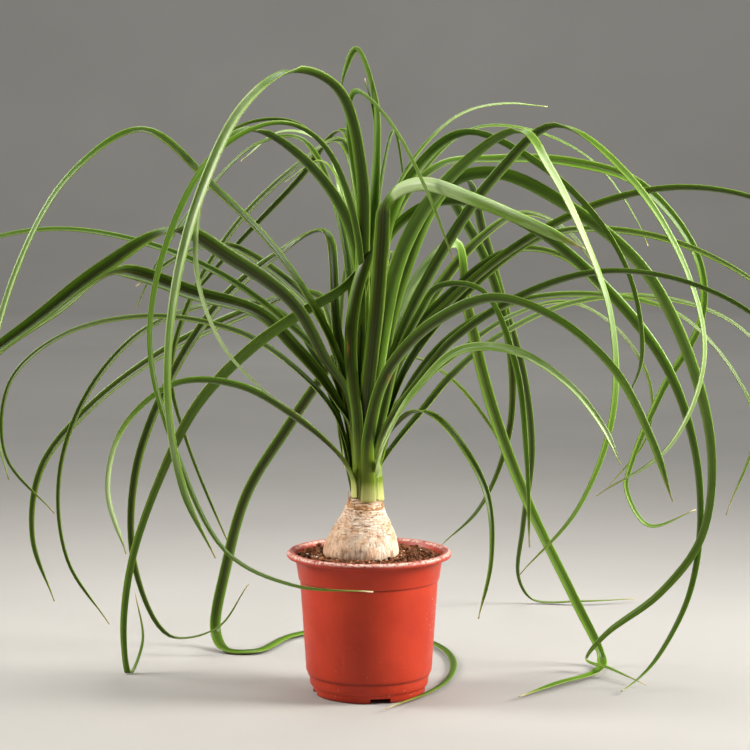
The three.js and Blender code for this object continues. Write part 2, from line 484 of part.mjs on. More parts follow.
function bladeRings(leaf) {
  const curve = new THREE.CatmullRomCurve3(routeOf(leaf), false, 'centripetal');
  const steps = (curve.points.length - 1) * STEPS_PER_SPAN;
  const stepsPerRing = STEPS_PER_SPAN / RINGS_PER_SPAN;
  const centres = curve.getPoints(steps);
  const lengths = [0];
  for (let i = 1; i <= steps; i += 1) lengths.push(lengths[i - 1] + centres[i].distanceTo(centres[i - 1]));
  const side = new THREE.Vector3(-Math.sin(leaf.azimuth), Math.cos(leaf.azimuth), 0);
  return centres.flatMap((centre, i) => {
    const before = centres[Math.max(0, i - 1)];
    const after = centres[Math.min(steps, i + 1)];
    const tangent = after.clone().sub(before).normalize();
    side.addScaledVector(tangent, -side.dot(tangent)).normalize();
    const along = lengths[i] / lengths[steps];
    const step = lengths[i] - lengths[Math.max(0, i - 1)];
    const started = smooth((along - ROLL_FROM) / (ROLL_FREE - ROLL_FROM));
    const free = started * THREE.MathUtils.clamp(centre.z / LEVEL_BELOW - 0.5, 0, 1);
    const fold = foldAt(leaf, lengths, i);
    const shown = THREE.MathUtils.lerp(shownAt(leaf, along), fold.share, fold.hold);
    const rollLength = THREE.MathUtils.lerp(ROLL_LENGTH, FOLD_ROLL_LENGTH, fold.hold);
    rolled(side, tangent, centre, shown, free * (1 - Math.exp(-step / rollLength)));
    levelled(side, tangent, centre.z);
    if (i % stepsPerRing !== 0) return [];
    const up = tangent.clone().cross(side);
    const width = widthAt(leaf, along);
    const rounding = smooth(along / FULL_THICKNESS_FROM);
    const thickness = SHEATH_THICKNESS + (BLADE_THICKNESS - SHEATH_THICKNESS) * rounding;
    const channel = width * CHANNEL_SHARE;
    const corner = (sideways, upwards) => centre.clone()
      .addScaledVector(side, sideways)
      .addScaledVector(up, upwards);
    const ring = [
      corner(width / 2, channel - thickness / 3), corner(0, thickness / 2),
      corner(-width / 2, channel - thickness / 3), corner(0, -thickness / 2),
    ];
    const lowest = Math.min(...ring.map((point) => point.z));
    const lift = Math.max(0, 0.3 - lowest);
    ring.forEach((point) => { point.z += lift; });
    return [ring];
  });
}

// A blade has four long edges: its two margins, the bottom of its channel and its keel.
function bladeSolid(leaf) {
  const rings = bladeRings(leaf);
  const position = rings.flat().flatMap((point) => [point.x, point.y, point.z]);
  const index = [0, 3, 1, 2, 1, 3];
  for (let ring = 0; ring < rings.length - 1; ring += 1) {
    for (let edge = 0; edge < 4; edge += 1) {
      const a = 4 * ring + edge;
      const b = 4 * ring + ((edge + 1) % 4);
      const [c, d] = [b + 4, a + 4];
      if (edge % 2 === 0) index.push(a, b, c, a, c, d);
      else index.push(a, b, d, b, c, d);
    }
  }
  const end = 4 * (rings.length - 1);
  index.push(end, end + 1, end + 3, end + 2, end + 3, end + 1);
  const geometry = new THREE.BufferGeometry();
  geometry.setAttribute('position', new THREE.BufferAttribute(new Float32Array(position), 3));
  geometry.setIndex(index);
  return solidFrom(geometry);
}

// The sheaf in which the sheaths of all the leaves are wrapped round one another
function sheafSolid(offset) {
  const profile = SHEAF_PROFILE.map(([height, radius]) => (
    radius === 0 ? [height + offset * Math.sign(height - SHEATH_TOP), 0] : [height, radius + offset]
  ));
  return solidFrom(turned(profile, SHEAF_SIDES, CROWN_AXIS)).subtract(caudexSolid(CLEARANCE));
}

// The youngest leaves grow as one head with the sheaf. The others leave its side, and a leaf is a piece of
// its own unless it presses on another.
function growLeaves() {
  const leaves = LEAVES.map(readLeaf);
  placeSheaths(leaves);
  const seat = caudexSolid(CLEARANCE);
  const wrapped = sheafSolid(SHEAF_CLEARANCE).add(seat);
  const heart = leaves.slice(0, HEART_LEAVES).map((leaf) => bladeSolid(leaf).subtract(seat));
  const groups = [{ solid: mainBody(wasm.Manifold.union([sheafSolid(0), ...heart])), names: ['head'] }];
  for (const leaf of leaves.slice(HEART_LEAVES)) {
    let solid = mainBody(bladeSolid(leaf).subtract(wrapped));
    let names = [leaf.name];
    for (const group of [...groups]) {
      if (solid.minGap(group.solid, 1) > TOUCHING) continue;
      solid = solid.add(group.solid);
      names = [...group.names, ...names];
      groups.splice(groups.indexOf(group), 1);
    }
    groups.push({ solid: mainBody(solid), names });
  }
  return groups;
}

// The whole plant

const plant = new THREE.Group();

function addPart(name, solid, material) {
  const mesh = new THREE.Mesh(geometryFrom(solid), material);
  mesh.name = name;
  plant.add(mesh);
}

addPart('pot', makePot(), MATERIALS.pot);
addPart('soil', makeSoil(), MATERIALS.soil);
addPart('caudex', caudexSolid(0), MATERIALS.caudex);
for (const group of growLeaves()) {
  const name = group.names.includes('head') ? 'head' : group.names.join('_and_');
  addPart(`leaf_${name}`, group.solid, MATERIALS.leaf);
}

export default plant;
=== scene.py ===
"""Potted ponytail palm: a swollen corky base in a terracotta-coloured nursery pot, under a fountain of strap
leaves. Blender units are metres. Millimetre values are turned into metres by MM."""

import math
import random

import bmesh
import bpy
from mathutils import Matrix, Vector, noise


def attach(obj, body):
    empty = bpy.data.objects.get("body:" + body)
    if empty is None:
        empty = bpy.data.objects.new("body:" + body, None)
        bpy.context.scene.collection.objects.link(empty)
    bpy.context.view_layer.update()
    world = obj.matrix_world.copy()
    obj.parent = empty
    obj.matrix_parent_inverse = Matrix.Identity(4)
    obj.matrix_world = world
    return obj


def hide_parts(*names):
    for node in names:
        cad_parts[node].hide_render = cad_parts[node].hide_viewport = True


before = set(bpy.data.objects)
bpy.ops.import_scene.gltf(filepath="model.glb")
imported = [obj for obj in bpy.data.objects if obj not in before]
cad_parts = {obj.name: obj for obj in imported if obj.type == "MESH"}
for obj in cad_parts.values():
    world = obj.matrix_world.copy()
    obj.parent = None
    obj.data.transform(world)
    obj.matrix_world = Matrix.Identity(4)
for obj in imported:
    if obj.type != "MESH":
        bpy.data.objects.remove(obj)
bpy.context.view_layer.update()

MM = 0.001
MERGE_DISTANCE = 1e-7

# Camera and studio
CAMERA_PLACE = (4.4 * MM, -2000 * MM, 460 * MM)
CAMERA_PITCH_DEG = 6.46
CAMERA_LENS = 133.4
SENSOR_WIDTH = 36.0
FLOOR_RADIUS = 3.2
FLOOR_BEND = 1.2
WALL_HEIGHT = 2.6
FLOOR_GAP = 0.0004
FLOOR_STEPS = 96
BEND_STEPS = 12
VIEW_LIMIT = 20
AIR_COLOUR = (232, 234, 236)
AIR_STRENGTH = 0.2
WHITE = (1.0, 1.0, 1.0)

# Studio lights: place, aim, side length in metres, power in watts, tint and spread in degrees
LIGHTS = {
    "left_light": ((-1.4, 0.1, 0.95), (0, 0, 0.22), 0.7, 7.6, (1.0, 0.97, 0.93), 80),
    "right_light": ((1.4, -0.1, 0.85), (0, 0, 0.2), 0.7, 12.4, (1.0, 0.98, 0.95), 80),
    "top_light": ((0.1, 0.5, 1.8), (0, 0, 0.25), 0.8, 20, WHITE, 180),
    "front_fill": ((-0.5, -2.6, 1.5), (0, 0, 0.2), 1.4, 3, WHITE, 180),
    "backdrop_light": ((0, 1.6, 2.3), (0, 4.4, 1.3), 1.6, 45, WHITE, 180),
}

# Pot
RIM_RADIUS = 60
RIM_TOP = 105
RIM_UNDERSIDE = 100.7
WALL_TOP_RADIUS = 54
BAND_BOTTOM = 85
BAND_BOTTOM_RADIUS = 51.4
WALL_BOTTOM = 17
WALL_BOTTOM_RADIUS = 46
STEP_TOP = 14
STEP_TOP_RADIUS = 43.9
STEP_BOTTOM = 7
STEP_BOTTOM_RADIUS = 43.2
FOOT_TOP = 5
FOOT_TOP_RADIUS = 41.2
FOOT_RADIUS = 40.8
FOOT_RING = 2.4
POT_WALL = 1.4
RECESS_HEIGHT = 3.4
FLOOR_THICKNESS = 1.6
PAD_RADIUS = 11
NOTCH_COUNT = 4
NOTCH_WIDTH = 15
NOTCH_DEPTH = 8
NOTCH_OUTWARD = 3.4
FRONT_NOTCH_DEG = -78
DRAIN_COUNT = 6
DRAIN_RADIUS = 4
DRAIN_CIRCLE = 26
POT_STEPS = 144
HARD_EDGE_DEG = 42

# Marks and painted shade on the pot, in metres above the surface: where each comes in. One that fades again
# higher up
# has four heights: it starts, is full, starts to fade and is gone.
# Painted shade: the lip is painted a darker red-brown from the first height, fully from the second
LIP_PAINTED_SHADE = (0.1002, 0.1036)
LIP_RESIDUE = (0.1022, 0.1038)
FOOT_SCUFFS = (0.0035, 0.0055, 0.0075, 0.010)
WALL_SCUFFS = (0.06, 0.02)
FOOT_GRIME = (0.003, 0.0)
# Painted shade: thin dark lines under the band and under the step
SHADE_UNDER_BAND = (0.0825, 0.0842, 0.0842, 0.0848)
SHADE_UNDER_STEP = (0.0128, 0.0142, 0.0146, 0.0160)

# The two pale edges of the lip, in metres from the pot's axis, and the worn patch on the right of the wall in
# millimetres, as its centre and its reach
OUTER_EDGE = 0.0588
INNER_EDGE = 0.0550
PALE_PATCH = ((49, -14, 60), (14, 16, 24))

# Soil
SOIL_TOP = 101.5
SOIL_RADIUS = 52.5
CRUMB_COUNT = 1500
FIBRE_COUNT = 170
FLAKE_COUNT = 150
SOIL_SEED = 21
SOIL_RINGS = 52
SOIL_STEPS = 150
CLOD_RELIEF = 2.0
CLOD_FINENESS = 0.11
CRUMB_RELIEF = 1.5
CRUMB_FINENESS = 0.42
GRAIN_RELIEF = 0.8
EDGE_DIP = 1.2
SMALLEST_CRUMB = 0.45
CRUMB_GROWTH = 1.5
CRUMB_STRETCH = (1, 2)
CRUMB_FLATNESS = 0.7
CRUMB_RISE = 0.3
CRUMB_ROUGHNESS = 0.22
CRUMB_GRAIN = 1.4
FIBRE_SIZE = (0.16, 0.3)
FIBRE_STRETCH = (8, 22)
FLAKE_SIZE = (0.5, 1.3)
FLAKE_STRETCH = (1.2, 2.4)
PERLITE_STRETCH = 1.2

# What a crumb is made of, as the shade that its material reads
EARTH = 0.0
BARK = 0.5
STRAW = 0.75
PERLITE = 1.0
PERLITE_PLACES = [
    (-41.3, -8.0, 2.3), (-37.2, -15.5, 1.9), (-44.5, -2.0, 1.3), (-34.0, -21.0, 1.1), (9.0, -35.5, 1.3),
    (30.0, -28.0, 0.7), (38.0, 18.0, 0.9), (-22.0, -36.0, 0.7), (24.0, 34.0, 0.8), (45.0, -9.0, 0.6),
]

# Woody base. Its profile holds the height above the surface and the radius.
CAUDEX_AXIS = (-5.9, 0)
CAUDEX_LEAN = 0.085
CAUDEX_WIDEST = 104
CAUDEX_RADIUS = 27.5
CAUDEX_STEPS = 190
FLAKES_WITHIN = CAUDEX_RADIUS + 7
CAUDEX_PROFILE = [
    (76, 0), (77.5, 8), (82, 16), (89, 22.5), (96, 26), (104, 27.5), (109, 26.9), (113, 25.4), (118, 23.2),
    (123, 20.8), (128, 18.2), (133, 15.9), (138, 13.6), (142, 12), (145.5, 9.4), (148.5, 5.4), (150, 0),
]
PROFILE_FINENESS = 12
SCAR_ZONE = (119, 143)
SCAR_SPACING = 2.1
SCAR_DEPTH = 0.7
FISSURE_DEPTH = 0.3
BARK_FULLNESS = 0.4

# Where the bark changes, in metres above the surface
BARK_FIBRES = (0.126, 0.114)
BARK_CRACKS = (0.132, 0.112)
BARK_FLAKES = (0.112, 0.124)
BARK_NECK = (0.138, 0.146)
BARK_SOILED = (0.1055, 0.1015)
# Painted shade: the bark is painted darker on its left side, from the first to the second place along the
# sideways axis, in metres
BARK_SHADY_SIDE = (-0.004, -0.03)

# Leaves
CROWN_AXIS = (-2.8, 0)
SHEATH_TOP = 158
AIM_DISTANCE = 80
SHEATH_WIDTH = 12
INNER_SHEATH_WIDTH = 5
SHEATH_ARC = 3.5
SHEATH_LAYER = 0.72
SHEATH_TUCK = 1.1
SHEATH_LENGTH = 16
SHEATH_OPENS = 34
SHEATH_SPREAD = 0.75
GROWING_TIP = 149
SHEATH_DROP = 5.2
SHEATH_SLANT = 2.6
SHEATH_SLANT_AZIMUTH_DEG = -45

# How many degrees a sheath at the front is turned further to the right
SHEATH_TURNS_DEG = {"right_low_bright": 64, "right_front_reach": 22, "right_low_front": 52}

SHEAF_RADIUS = 11.7
SHEAF_SECTOR_DEG = 40
CORE_PROFILE = [
    (136, 0), (136, 8), (147, 8.4), (160, 8.4), (172, 8), (186, 6.6), (200, 4), (210, 0),
]
CORE_STEPS = 40
CORE_CHART = (0.4, 0.1)
# Painted light and shade of the core, from dark (0) to bright (1)
CORE_PAINTED_LIGHT = 0.3
CORE_GLOW_FROM = 150
CORE_GLOW = 40
FOOT_CURVE = 1.6
ON_BARK_GAP = 0.8
ON_BARK_FROM = 0.55
ON_BARK_OVER = 0.4
SHEATH_WIDENING = 1.3
NARROWING_CURVE = 1.5
CHANNEL_CURVE = 1.4
CHANNEL_LIFT = 0.3
LYING_HEIGHT = 3
LEVEL_BELOW = 22
SHEATH_POINTS = 2
ROLL_LENGTH = 30
FOLD_ROLL_LENGTH = 4
FOLD_REACH = 17
ROLL_FROM = 0.05
ROLL_FREE = 0.15
UPPER_FACE_LEAD = 0.15
SWAY = 0.10
SWAY_LENGTH = 34
SHOWN_AT = (0.2, 0.55, 0.9)
# Where along a leaf its three levels of painted light and shade are reached, as shares of its length
PAINTED_LIGHT_AT = (0.15, 0.5, 0.85)
FULL_WIDTH_AFTER = 42
NARROWS_FROM = 0.35
TIP_FROM = 0.93
TIP_TAPER = 0.8
LEAST_WIDTH = 0.9
CHANNEL_SHARE = 0.23
STEPS_PER_SPAN = 8
COLUMNS = 8
CROWN_GLOW = 70
BLADE_THICKNESS = 0.6

# Brown bruises on two of the front stems, as the centre and the reach of each
LEFT_BRUISE = ((-15, -16, 256), (1.5, 30, 12))
RIGHT_BRUISE = ((15, -26, 234), (2.2, 30, 6))

# The faded and the dry end of a leaf, as shares of its length
FADED_END = (0.955, 0.99)
DRY_END = (0.984, 0.992)

# Dry scales round the neck, as azimuth in degrees, foot height, length and width
SCALE_THICKNESS = 0.35
SCALES = [
    (183, 140, 9, 5), (196, 139, 5, 7), (222, 138, 3.6, 8), (252, 137, 2.6, 9), (284, 136.2, 2.4, 9),
    (316, 136.2, 2.6, 9), (346, 137, 4, 7), (8, 138.4, 5, 6), (60, 139, 5, 8), (100, 140, 5, 7),
    (140, 140, 6, 7),
]

# Leaf routes are written as a viewer in front sees them on the upright plane through the pot's axis, with the
# depth behind that plane. Each point is slid along the viewer's line of sight to its depth.
EYE_X = 4.4
EYE_DISTANCE = 2000
EYE_Z = 460
LIES = None

# Each leaf: its name, blade width, the share of that width which the viewer sees near the crown, halfway and
# near the tip, its painted light and shade from dark (0) to bright (1) in the same three places, the share of
# the width that is left at the tip, and its route from the crown outwards as [seen x, depth, seen z]. LIES
# puts a point on the surface. Where a leaf folds over, its point has a fourth number: the share of the width
# seen there.
LEAVES = [
    ["left_high_arch", 8.5, [0.6, 0.55, 0.75], [0.35, 0.65, 0.95], 0.45, [[-14, 4, 205], [-23, -1, 247],
      [-64, -36, 319], [-110, -48, 367], [-162, -56, 410, 0.35], [-212, -62, 380], [-250, -66, 318],
      [-276, -66, 225], [-268, -64, 180], [-262, -62, 157]]],
    ["left_far_reach", 6, [0.8, 0.65, 0.65], [0.3, 0.5, 0.5], 0.35, [[-27, 13, 235], [-60, 30, 272],
      [-108, 42, 307], [-165, 52, 330], [-225, 60, 339], [-280, 66, 329], [-322, 70, 300], [-345, 72, 255],
      [-352, 72, 210]]],
    ["left_broad_front", 12.5, [0.7, 0.95, 0.95], [0.15, 0.3, 0.45], 0.45, [[-12.5, -7, 192], [-18, -8, 222],
      [-32, -14, 243], [-55, -28, 284], [-100, -50, 318], [-139, -64, 338, 0.25], [-190, -76, 312],
      [-240, -84, 274], [-290, -90, 234], [-318, -92, 190], [-328, -92, 150]]],
    ["left_broad_middle", 12, [0.85, 0.95, 0.9], [0.1, 0.25, 0.4], 0.35, [[-15, -2, 198], [-23, -2, 212],
      [-35, 0, 231], [-53, 2, 252], [-80, 12, 278], [-125, 16, 292], [-182, 20, 308, 0.25], [-225, 24, 281],
      [-275, 28, 246], [-312, 30, 195], [-315, 30, 130], [-298, 28, 75], [-272, 24, 38]]],
    ["left_dim_low", 5.5, [0.8, 0.75, 0.8], [0.15, 0.15, 0.2], 0.35, [[-16.5, 0, 183], [-26, 6, 207],
      [-50, 30, 235], [-95, 76, 265], [-160, 98, 276], [-222, 112, 262], [-260, 118, 228], [-264, 116, 175],
      [-229, 108, 132]]],
    ["left_dim_thin", 6, [0.8, 0.85, 0.9], [0.1, 0.1, 0.15], 0.35, [[-36, 25, 240], [-66, 70, 280],
      [-112, 122, 285], [-165, 148, 264], [-205, 166, 218], [-225, 176, 160], [-220, 176, 98],
      [-190, 168, 50]]],
    ["back_dark_broad", 10, [0.9, 0.9, 0.8], [0.1, 0.1, 0.15], 0.4, [[-23, 31, 260], [-40, 82, 292],
      [-90, 138, 278], [-150, 176, 249], [-205, 200, 207], [-238, 214, 165], [-245, 218, 115],
      [-230, 214, 67]]],
    ["front_big_arch", 10.5, [0.95, 0.65, 0.75], [0.42, 0.95, 0.85], 0.5, [[-5, -14, 310], [-6, -34, 380],
      [-22, -62, 438], [-55, -92, 452, 0.4], [-90, -118, 426], [-122, -140, 360], [-140, -156, 290],
      [-145, -168, 215], [-134, -174, 148], [-112, -174, 99]]],
    ["left_rise_thin_tail", 11, [0.95, 0.4, 0.5], [0.45, 0.75, 1.0], 0.15, [[-10, -10, 325], [-38, -24, 379],
      [-85, -44, 410, 0.35], [-112, -60, 388], [-124, -74, 315], [-108, -86, 260], [-78, -92, 224],
      [-50, -94, 204]]],
    ["front_low_sweep", 6.5, [0.7, 0.7, 0.8], [0.45, 0.6, 0.4], 0.3, [[-8, -20, 330], [-32, -48, 398],
      [-65, -78, 415], [-110, -104, 393], [-145, -124, 330], [-158, -134, 255], [-140, -138, 178],
      [-104, -132, 104], [-55, -116, 79], [3, -104, 74]]],
    ["left_steep", 6, [0.9, 0.6, 0.7], [0.35, 0.4, 0.5], 0.35, [[-20, 19, 340], [-48, 40, 403],
      [-80, 54, 400], [-115, 64, 368], [-145, 70, 328], [-168, 74, 283]]],
    ["left_inner_thin", 7, [0.9, 0.8, 0.7], [0.3, 0.25, 0.2], 0.3, [[-5, 28, 330], [-20, 44, 402],
      [-50, 70, 385], [-95, 98, 342], [-130, 118, 285], [-143, 130, 235], [-132, 144, 185], [-99, 154, 101]]],
    ["left_inner_back", 7, [0.9, 0.9, 0.9], [0.25, 0.2, 0.2], 0.35, [[-8, 36, 345], [-19, 58, 410],
      [-50, 84, 375], [-95, 108, 328], [-133, 122, 285]]],
    ["left_low_bow", 6, [0.95, 0.8, 0.9], [0.25, 0.5, 1.0], 0.5, [[-20, -16, 172], [-55, -44, 204],
      [-95, -66, 226], [-140, -82, 227], [-178, -92, 195], [-190, -96, 150], [-177, -94, 102]]],
    ["left_floor_bright", 9.5, [0.95, 0.8, 0.8], [0.22, 0.75, 0.6], 0.35, [[-8.5, -14, 184], [-9.5, -16, 205],
      [-12.5, -17, 230], [-13.5, -18, 258], [-10, -18, 290], [-2, -18, 318], [1, -13, 326, 0.2],
      [-6, -7, 313], [-20, -4, 297], [-50, -4, 279], [-85, 0, 254], [-125, 14, 212], [-154, 28, 155],
      [-174, 42, 95], [-180, 54, 42], [-176, 60, 13], [-166, 64, 38], [-171, 66, 74]]],
    ["back_floor_sweep", 9, [0.9, 0.9, 0.6], [0.2, 0.45, 0.4], 0.3, [[-8, 24, 225], [-15, 39, 254],
      [-36, 70, 228], [-60, 90, 193], [-88, 114, 147], [-104, 140, 92], [-112, 158, 46], [-104, LIES, 32],
      [-84, LIES, 31], [-55, LIES, 43], [0, LIES, 50], [47, LIES, 37], [61, LIES, 25], [58, LIES, 10],
      [44, LIES, 0], [12, LIES, -13]]],
    ["left_back_fold", 8.5, [0.8, 0.95, 0.8], [0.15, 0.15, 0.2], 0.3, [[-24, 20, 268], [-32, 48, 337, 0.45],
      [-66, 74, 320], [-107, 96, 286], [-145, 114, 228], [-170, 124, 160], [-170, 128, 90], [-146, 128, 42],
      [-112, 126, 47], [-88, 122, 80]]],
    ["left_short_brown", 5.5, [0.8, 0.6, 0.6], [0.6, 0.9, 0.8], 0.35, [[-14, 14, 350], [-34, 24, 388],
      [-60, 34, 373]]],
    ["left_highlight", 7, [0.9, 0.8, 0.7], [0.6, 1.0, 0.95], 0.35, [[-16, 36, 332], [-32, 80, 399],
      [-62, 100, 409], [-92, 116, 388]]],
    ["left_upper_thin", 4.5, [0.8, 0.6, 0.8], [0.7, 0.5, 0.5], 0.4, [[-9, -6, 345], [-32, -18, 398],
      [-58, -28, 417], [-98, -38, 410], [-131, -46, 362]]],
    ["left_behind_broad", 9, [0.9, 0.9, 0.9], [0.15, 0.15, 0.2], 0.35, [[-26, 36, 258], [-60, 80, 302],
      [-105, 108, 328], [-135, 124, 320], [-168, 134, 298]]],
    ["front_thin_fall", 5, [0.8, 0.7, 0.8], [0.6, 0.6, 0.8], 0.4, [[-7, -12, 350], [-15, -26, 412],
      [-10, -48, 438], [14, -72, 417], [40, -96, 370], [61, -114, 317]]],
    ["front_top_loop", 9, [0.9, 0.8, 0.6], [0.8, 0.55, 0.75], 0.35, [[-12, -9, 225], [-12, -11, 260],
      [0, -12, 325], [5, -10, 390], [4, -6, 432], [-9, 2, 468], [-18, 10, 450], [-20, 14, 436]]],
    ["heart_tip_short", 5, [0.8, 0.7, 0.6], [0.6, 0.6, 0.7], 0.3, [[3, -2, 300], [6, -3, 370], [4, -4, 420],
      [-3, -6, 447]]],
    ["heart_small_loop", 4.5, [0.8, 0.8, 0.8], [0.6, 0.45, 0.5], 0.35, [[4, 8, 310], [8, 14, 368],
      [18, 22, 410], [26, 28, 370]]],
    ["front_broad_bright", 11.5, [0.9, 0.95, 1], [0.12, 1.05, 0.85], 0.55, [[-4, -13, 202], [-1.5, -21, 227],
      [5, -34, 282], [9, -42, 335], [11, -50, 356, 0.22], [20, -62, 367], [40, -84, 372], [75, -112, 361],
      [115, -136, 344], [155, -154, 325]]],
    ["right_upper_thin", 4, [0.8, 0.6, 0.7], [0.4, 0.6, 0.95], 0.4, [[9, 12, 330], [28, 26, 383],
      [63, 42, 420], [95, 54, 429], [128, 64, 427]]],
    ["right_long_thin", 4, [0.8, 0.6, 0.6], [0.4, 0.6, 0.6], 0.4, [[12, 26, 320], [40, 50, 381],
      [75, 72, 411], [120, 94, 409], [163, 110, 386], [193, 120, 345], [201, 124, 327]]],
    ["right_front_drop", 9.5, [1, 0.65, 0.6], [0.6, 0.55, 0.5], 0.35, [[14, -12, 340], [44, -26, 393],
      [72, -38, 408, 0.4], [125, -54, 383], [167, -66, 342], [190, -76, 298], [197, -84, 245],
      [187, -88, 215]]],
    ["right_broad_fold", 11, [1, 0.45, 0.5], [0.7, 1.0, 0.7], 0.35, [[2, -10, 208], [6, -20, 240],
      [24, -37, 322], [60, -68, 377], [109, -86, 409, 0.3], [128, -98, 384], [153, -114, 335],
      [174, -128, 275], [176, -140, 205], [152, -146, 137], [110, -146, 87]]],
    ["back_floor_far", 8, [0.9, 0.9, 0.7], [0.45, 0.3, 0.2], 0.35, [[10, 38, 290], [40, 70, 350],
      [68, 110, 376], [82, 160, 336], [96, 204, 288], [112, 240, 232], [118, 268, 178], [112, 296, 124],
      [109, 322, 84], [120, LIES, 68], [155, LIES, 67], [195, LIES, 69]]],
    ["back_fold_fall", 9.5, [0.9, 0.9, 0.7], [0.88, 0.55, 0.2], 0.3, [[24, 22, 300], [52, 56, 368],
      [64, 88, 352], [88, 120, 306], [103, 146, 240], [100, 160, 185], [80, 164, 136], [52, 158, 108]]],
    ["right_floor_fold", 10.5, [0.7, 0.85, 0.8], [0.95, 0.3, 0.5], 0.5, [[14, -3, 250], [36, 8, 304],
      [62, 24, 328, 1], [70, 38, 284], [88, 52, 212], [115, 66, 140], [148, 78, 72], [170, 88, 26],
      [166, LIES, 14], [140, LIES, 6], [110, LIES, -4]]],
    ["right_cut_short", 6.5, [0.9, 0.8, 0.7], [0.4, 0.5, 0.55], 0.5, [[12, -16, 212], [20, -29, 244],
      [38, -50, 280], [50, -53, 297], [82, -72, 294], [106, -88, 240], [114, -98, 175], [117, -104, 107]]],
    ["right_flat_top_loop", 8.5, [0.6, 0.95, 0.8], [0.4, 0.5, 0.75], 0.35, [[18, 22, 345], [50, 36, 384],
      [90, 48, 389], [145, 60, 387], [195, 72, 371], [236, 82, 320], [240, 88, 275], [212, 94, 222],
      [190, 98, 168], [187, 99, 150], [204, 100, 123], [238, 100, 135]]],
    ["right_round_loop", 8.5, [0.95, 0.65, 0.5], [0.4, 0.7, 0.95], 0.35, [[20, -16, 252], [52, -40, 320],
      [92, -64, 378], [134, -80, 413, 0.35], [185, -94, 378], [228, -106, 310], [242, -114, 245],
      [218, -118, 182], [165, -118, 145]]],
    ["right_floor_outer", 9, [0.7, 0.95, 0.7], [0.4, 0.55, 0.6], 0.35, [[8, -4, 320], [34, -8, 352],
      [65, -12, 359], [120, -14, 338], [175, -8, 292], [215, 0, 240], [236, 8, 180], [241, 14, 120],
      [233, 16, 70], [212, 12, 27], [198, 4, 10], [185, LIES, 0]]],
    ["right_middle_bend", 8, [0.9, 0.8, 0.7], [0.15, 0.2, 0.3], 0.4, [[22, 9, 250], [58, 24, 292],
      [100, 28, 323], [138, 30, 320], [178, 30, 284]]],
    ["right_dark_back", 9.5, [0.95, 0.9, 0.7], [0.1, 0.1, 0.15], 0.35, [[18, 34, 250], [45, 62, 290],
      [78, 88, 330], [110, 108, 350], [142, 124, 338], [165, 134, 310]]],
    ["right_far_reach", 7, [0.85, 0.8, 0.8], [0.2, 0.35, 0.4], 0.35, [[23, -5, 244], [60, -7, 288],
      [110, -8, 329], [170, -6, 359], [230, -2, 369], [290, 4, 356], [330, 8, 322], [345, 10, 285]]],
    ["right_floor_thick", 10, [0.9, 0.85, 0.7], [0.5, 0.75, 0.6], 0.35, [[10, -14, 240], [26, -24, 306],
      [58, -38, 371], [92, -48, 379], [145, -54, 354], [195, -52, 313], [228, -40, 255], [248, -18, 180],
      [242, 6, 115], [212, 32, 73], [172, 56, 42], [159, 66, 24], [176, 46, 17], [203, LIES, 5]]],
    ["right_low_cut", 9.5, [0.9, 0.8, 0.85], [0.28, 0.45, 0.75], 0.5, [[-0.5, -17, 182], [2.5, -21, 201],
      [8, -27, 222], [18, -37, 242], [48, -74, 272], [90, -104, 289], [135, -128, 274], [178, -144, 236],
      [205, -154, 186], [221, -158, 141]]],
    ["right_low_bright", 7.5, [0.34, 0.8, 0.85], [0.95, 0.8, 0.95], 0.55, [[8, -22, 174], [21, -50, 203],
      [36, -74, 224], [65, -100, 251], [105, -126, 251], [145, -146, 226], [170, -158, 195],
      [183, -162, 168]]],
    ["right_front_reach", 6.5, [0.9, 0.8, 0.8], [0.2, 0.4, 0.45], 0.35, [[9, -15, 187], [22, -29, 210],
      [40, -41, 233], [60, -54, 258], [110, -70, 291], [165, -92, 308], [225, -124, 302], [278, -134, 277],
      [318, -138, 235]]],
    ["right_edge_return", 6.5, [0.8, 0.6, 0.5], [0.2, 0.35, 0.4], 0.3, [[24, 12, 215], [60, 24, 262],
      [110, 36, 287], [170, 46, 291], [222, 52, 278], [262, 56, 238], [280, 58, 195], [260, 58, 131]]],
    ["right_back_bow", 5.5, [0.8, 0.6, 0.6], [0.15, 0.2, 0.25], 0.35, [[16, 38, 205], [60, 84, 246],
      [105, 118, 277], [145, 142, 286], [180, 158, 266], [203, 168, 228], [202, 174, 190], [174, 174, 151]]],
    ["right_back_reach", 6.5, [0.8, 0.65, 0.7], [0.15, 0.3, 0.35], 0.35, [[9, 3, 168], [20, 14, 184],
      [40, 32, 209], [60, 50, 233], [95, 76, 262], [145, 104, 285], [205, 128, 290], [262, 146, 272],
      [312, 156, 220]]],
    ["right_upper_reach", 7, [0.8, 0.75, 0.8], [0.15, 0.3, 0.35], 0.35, [[26, 0, 236], [75, 6, 297],
      [130, 10, 335], [195, 14, 336], [255, 18, 315], [305, 20, 278], [330, 20, 240]]],
    ["right_low_front", 6.5, [0.8, 0.8, 0.8], [0.25, 0.25, 0.2], 0.35, [[9, 1, 180], [25, -18, 202],
      [42, -54, 206], [66, -98, 184], [86, -120, 145], [89, -132, 98], [80, -136, 54]]],
    ["back_dim_droop", 6.5, [0.8, 0.8, 0.7], [0.15, 0.15, 0.15], 0.4, [[14, 40, 232], [32, 88, 246],
      [62, 134, 228], [88, 164, 196], [105, 178, 165]]],
    ["back_arch_left", 8, [0.8, 0.8, 0.8], [0.2, 0.3, 0.3], 0.35, [[4, 43, 278], [-5, 104, 330],
      [-14, 170, 322], [-20, 230, 272], [-22, 268, 205], [-18, 280, 165]]],
    ["back_arch_right", 8, [0.8, 0.8, 0.8], [0.2, 0.3, 0.3], 0.35, [[8, 52, 268], [12, 108, 318],
      [16, 176, 312], [14, 236, 262], [8, 270, 200]]],
]


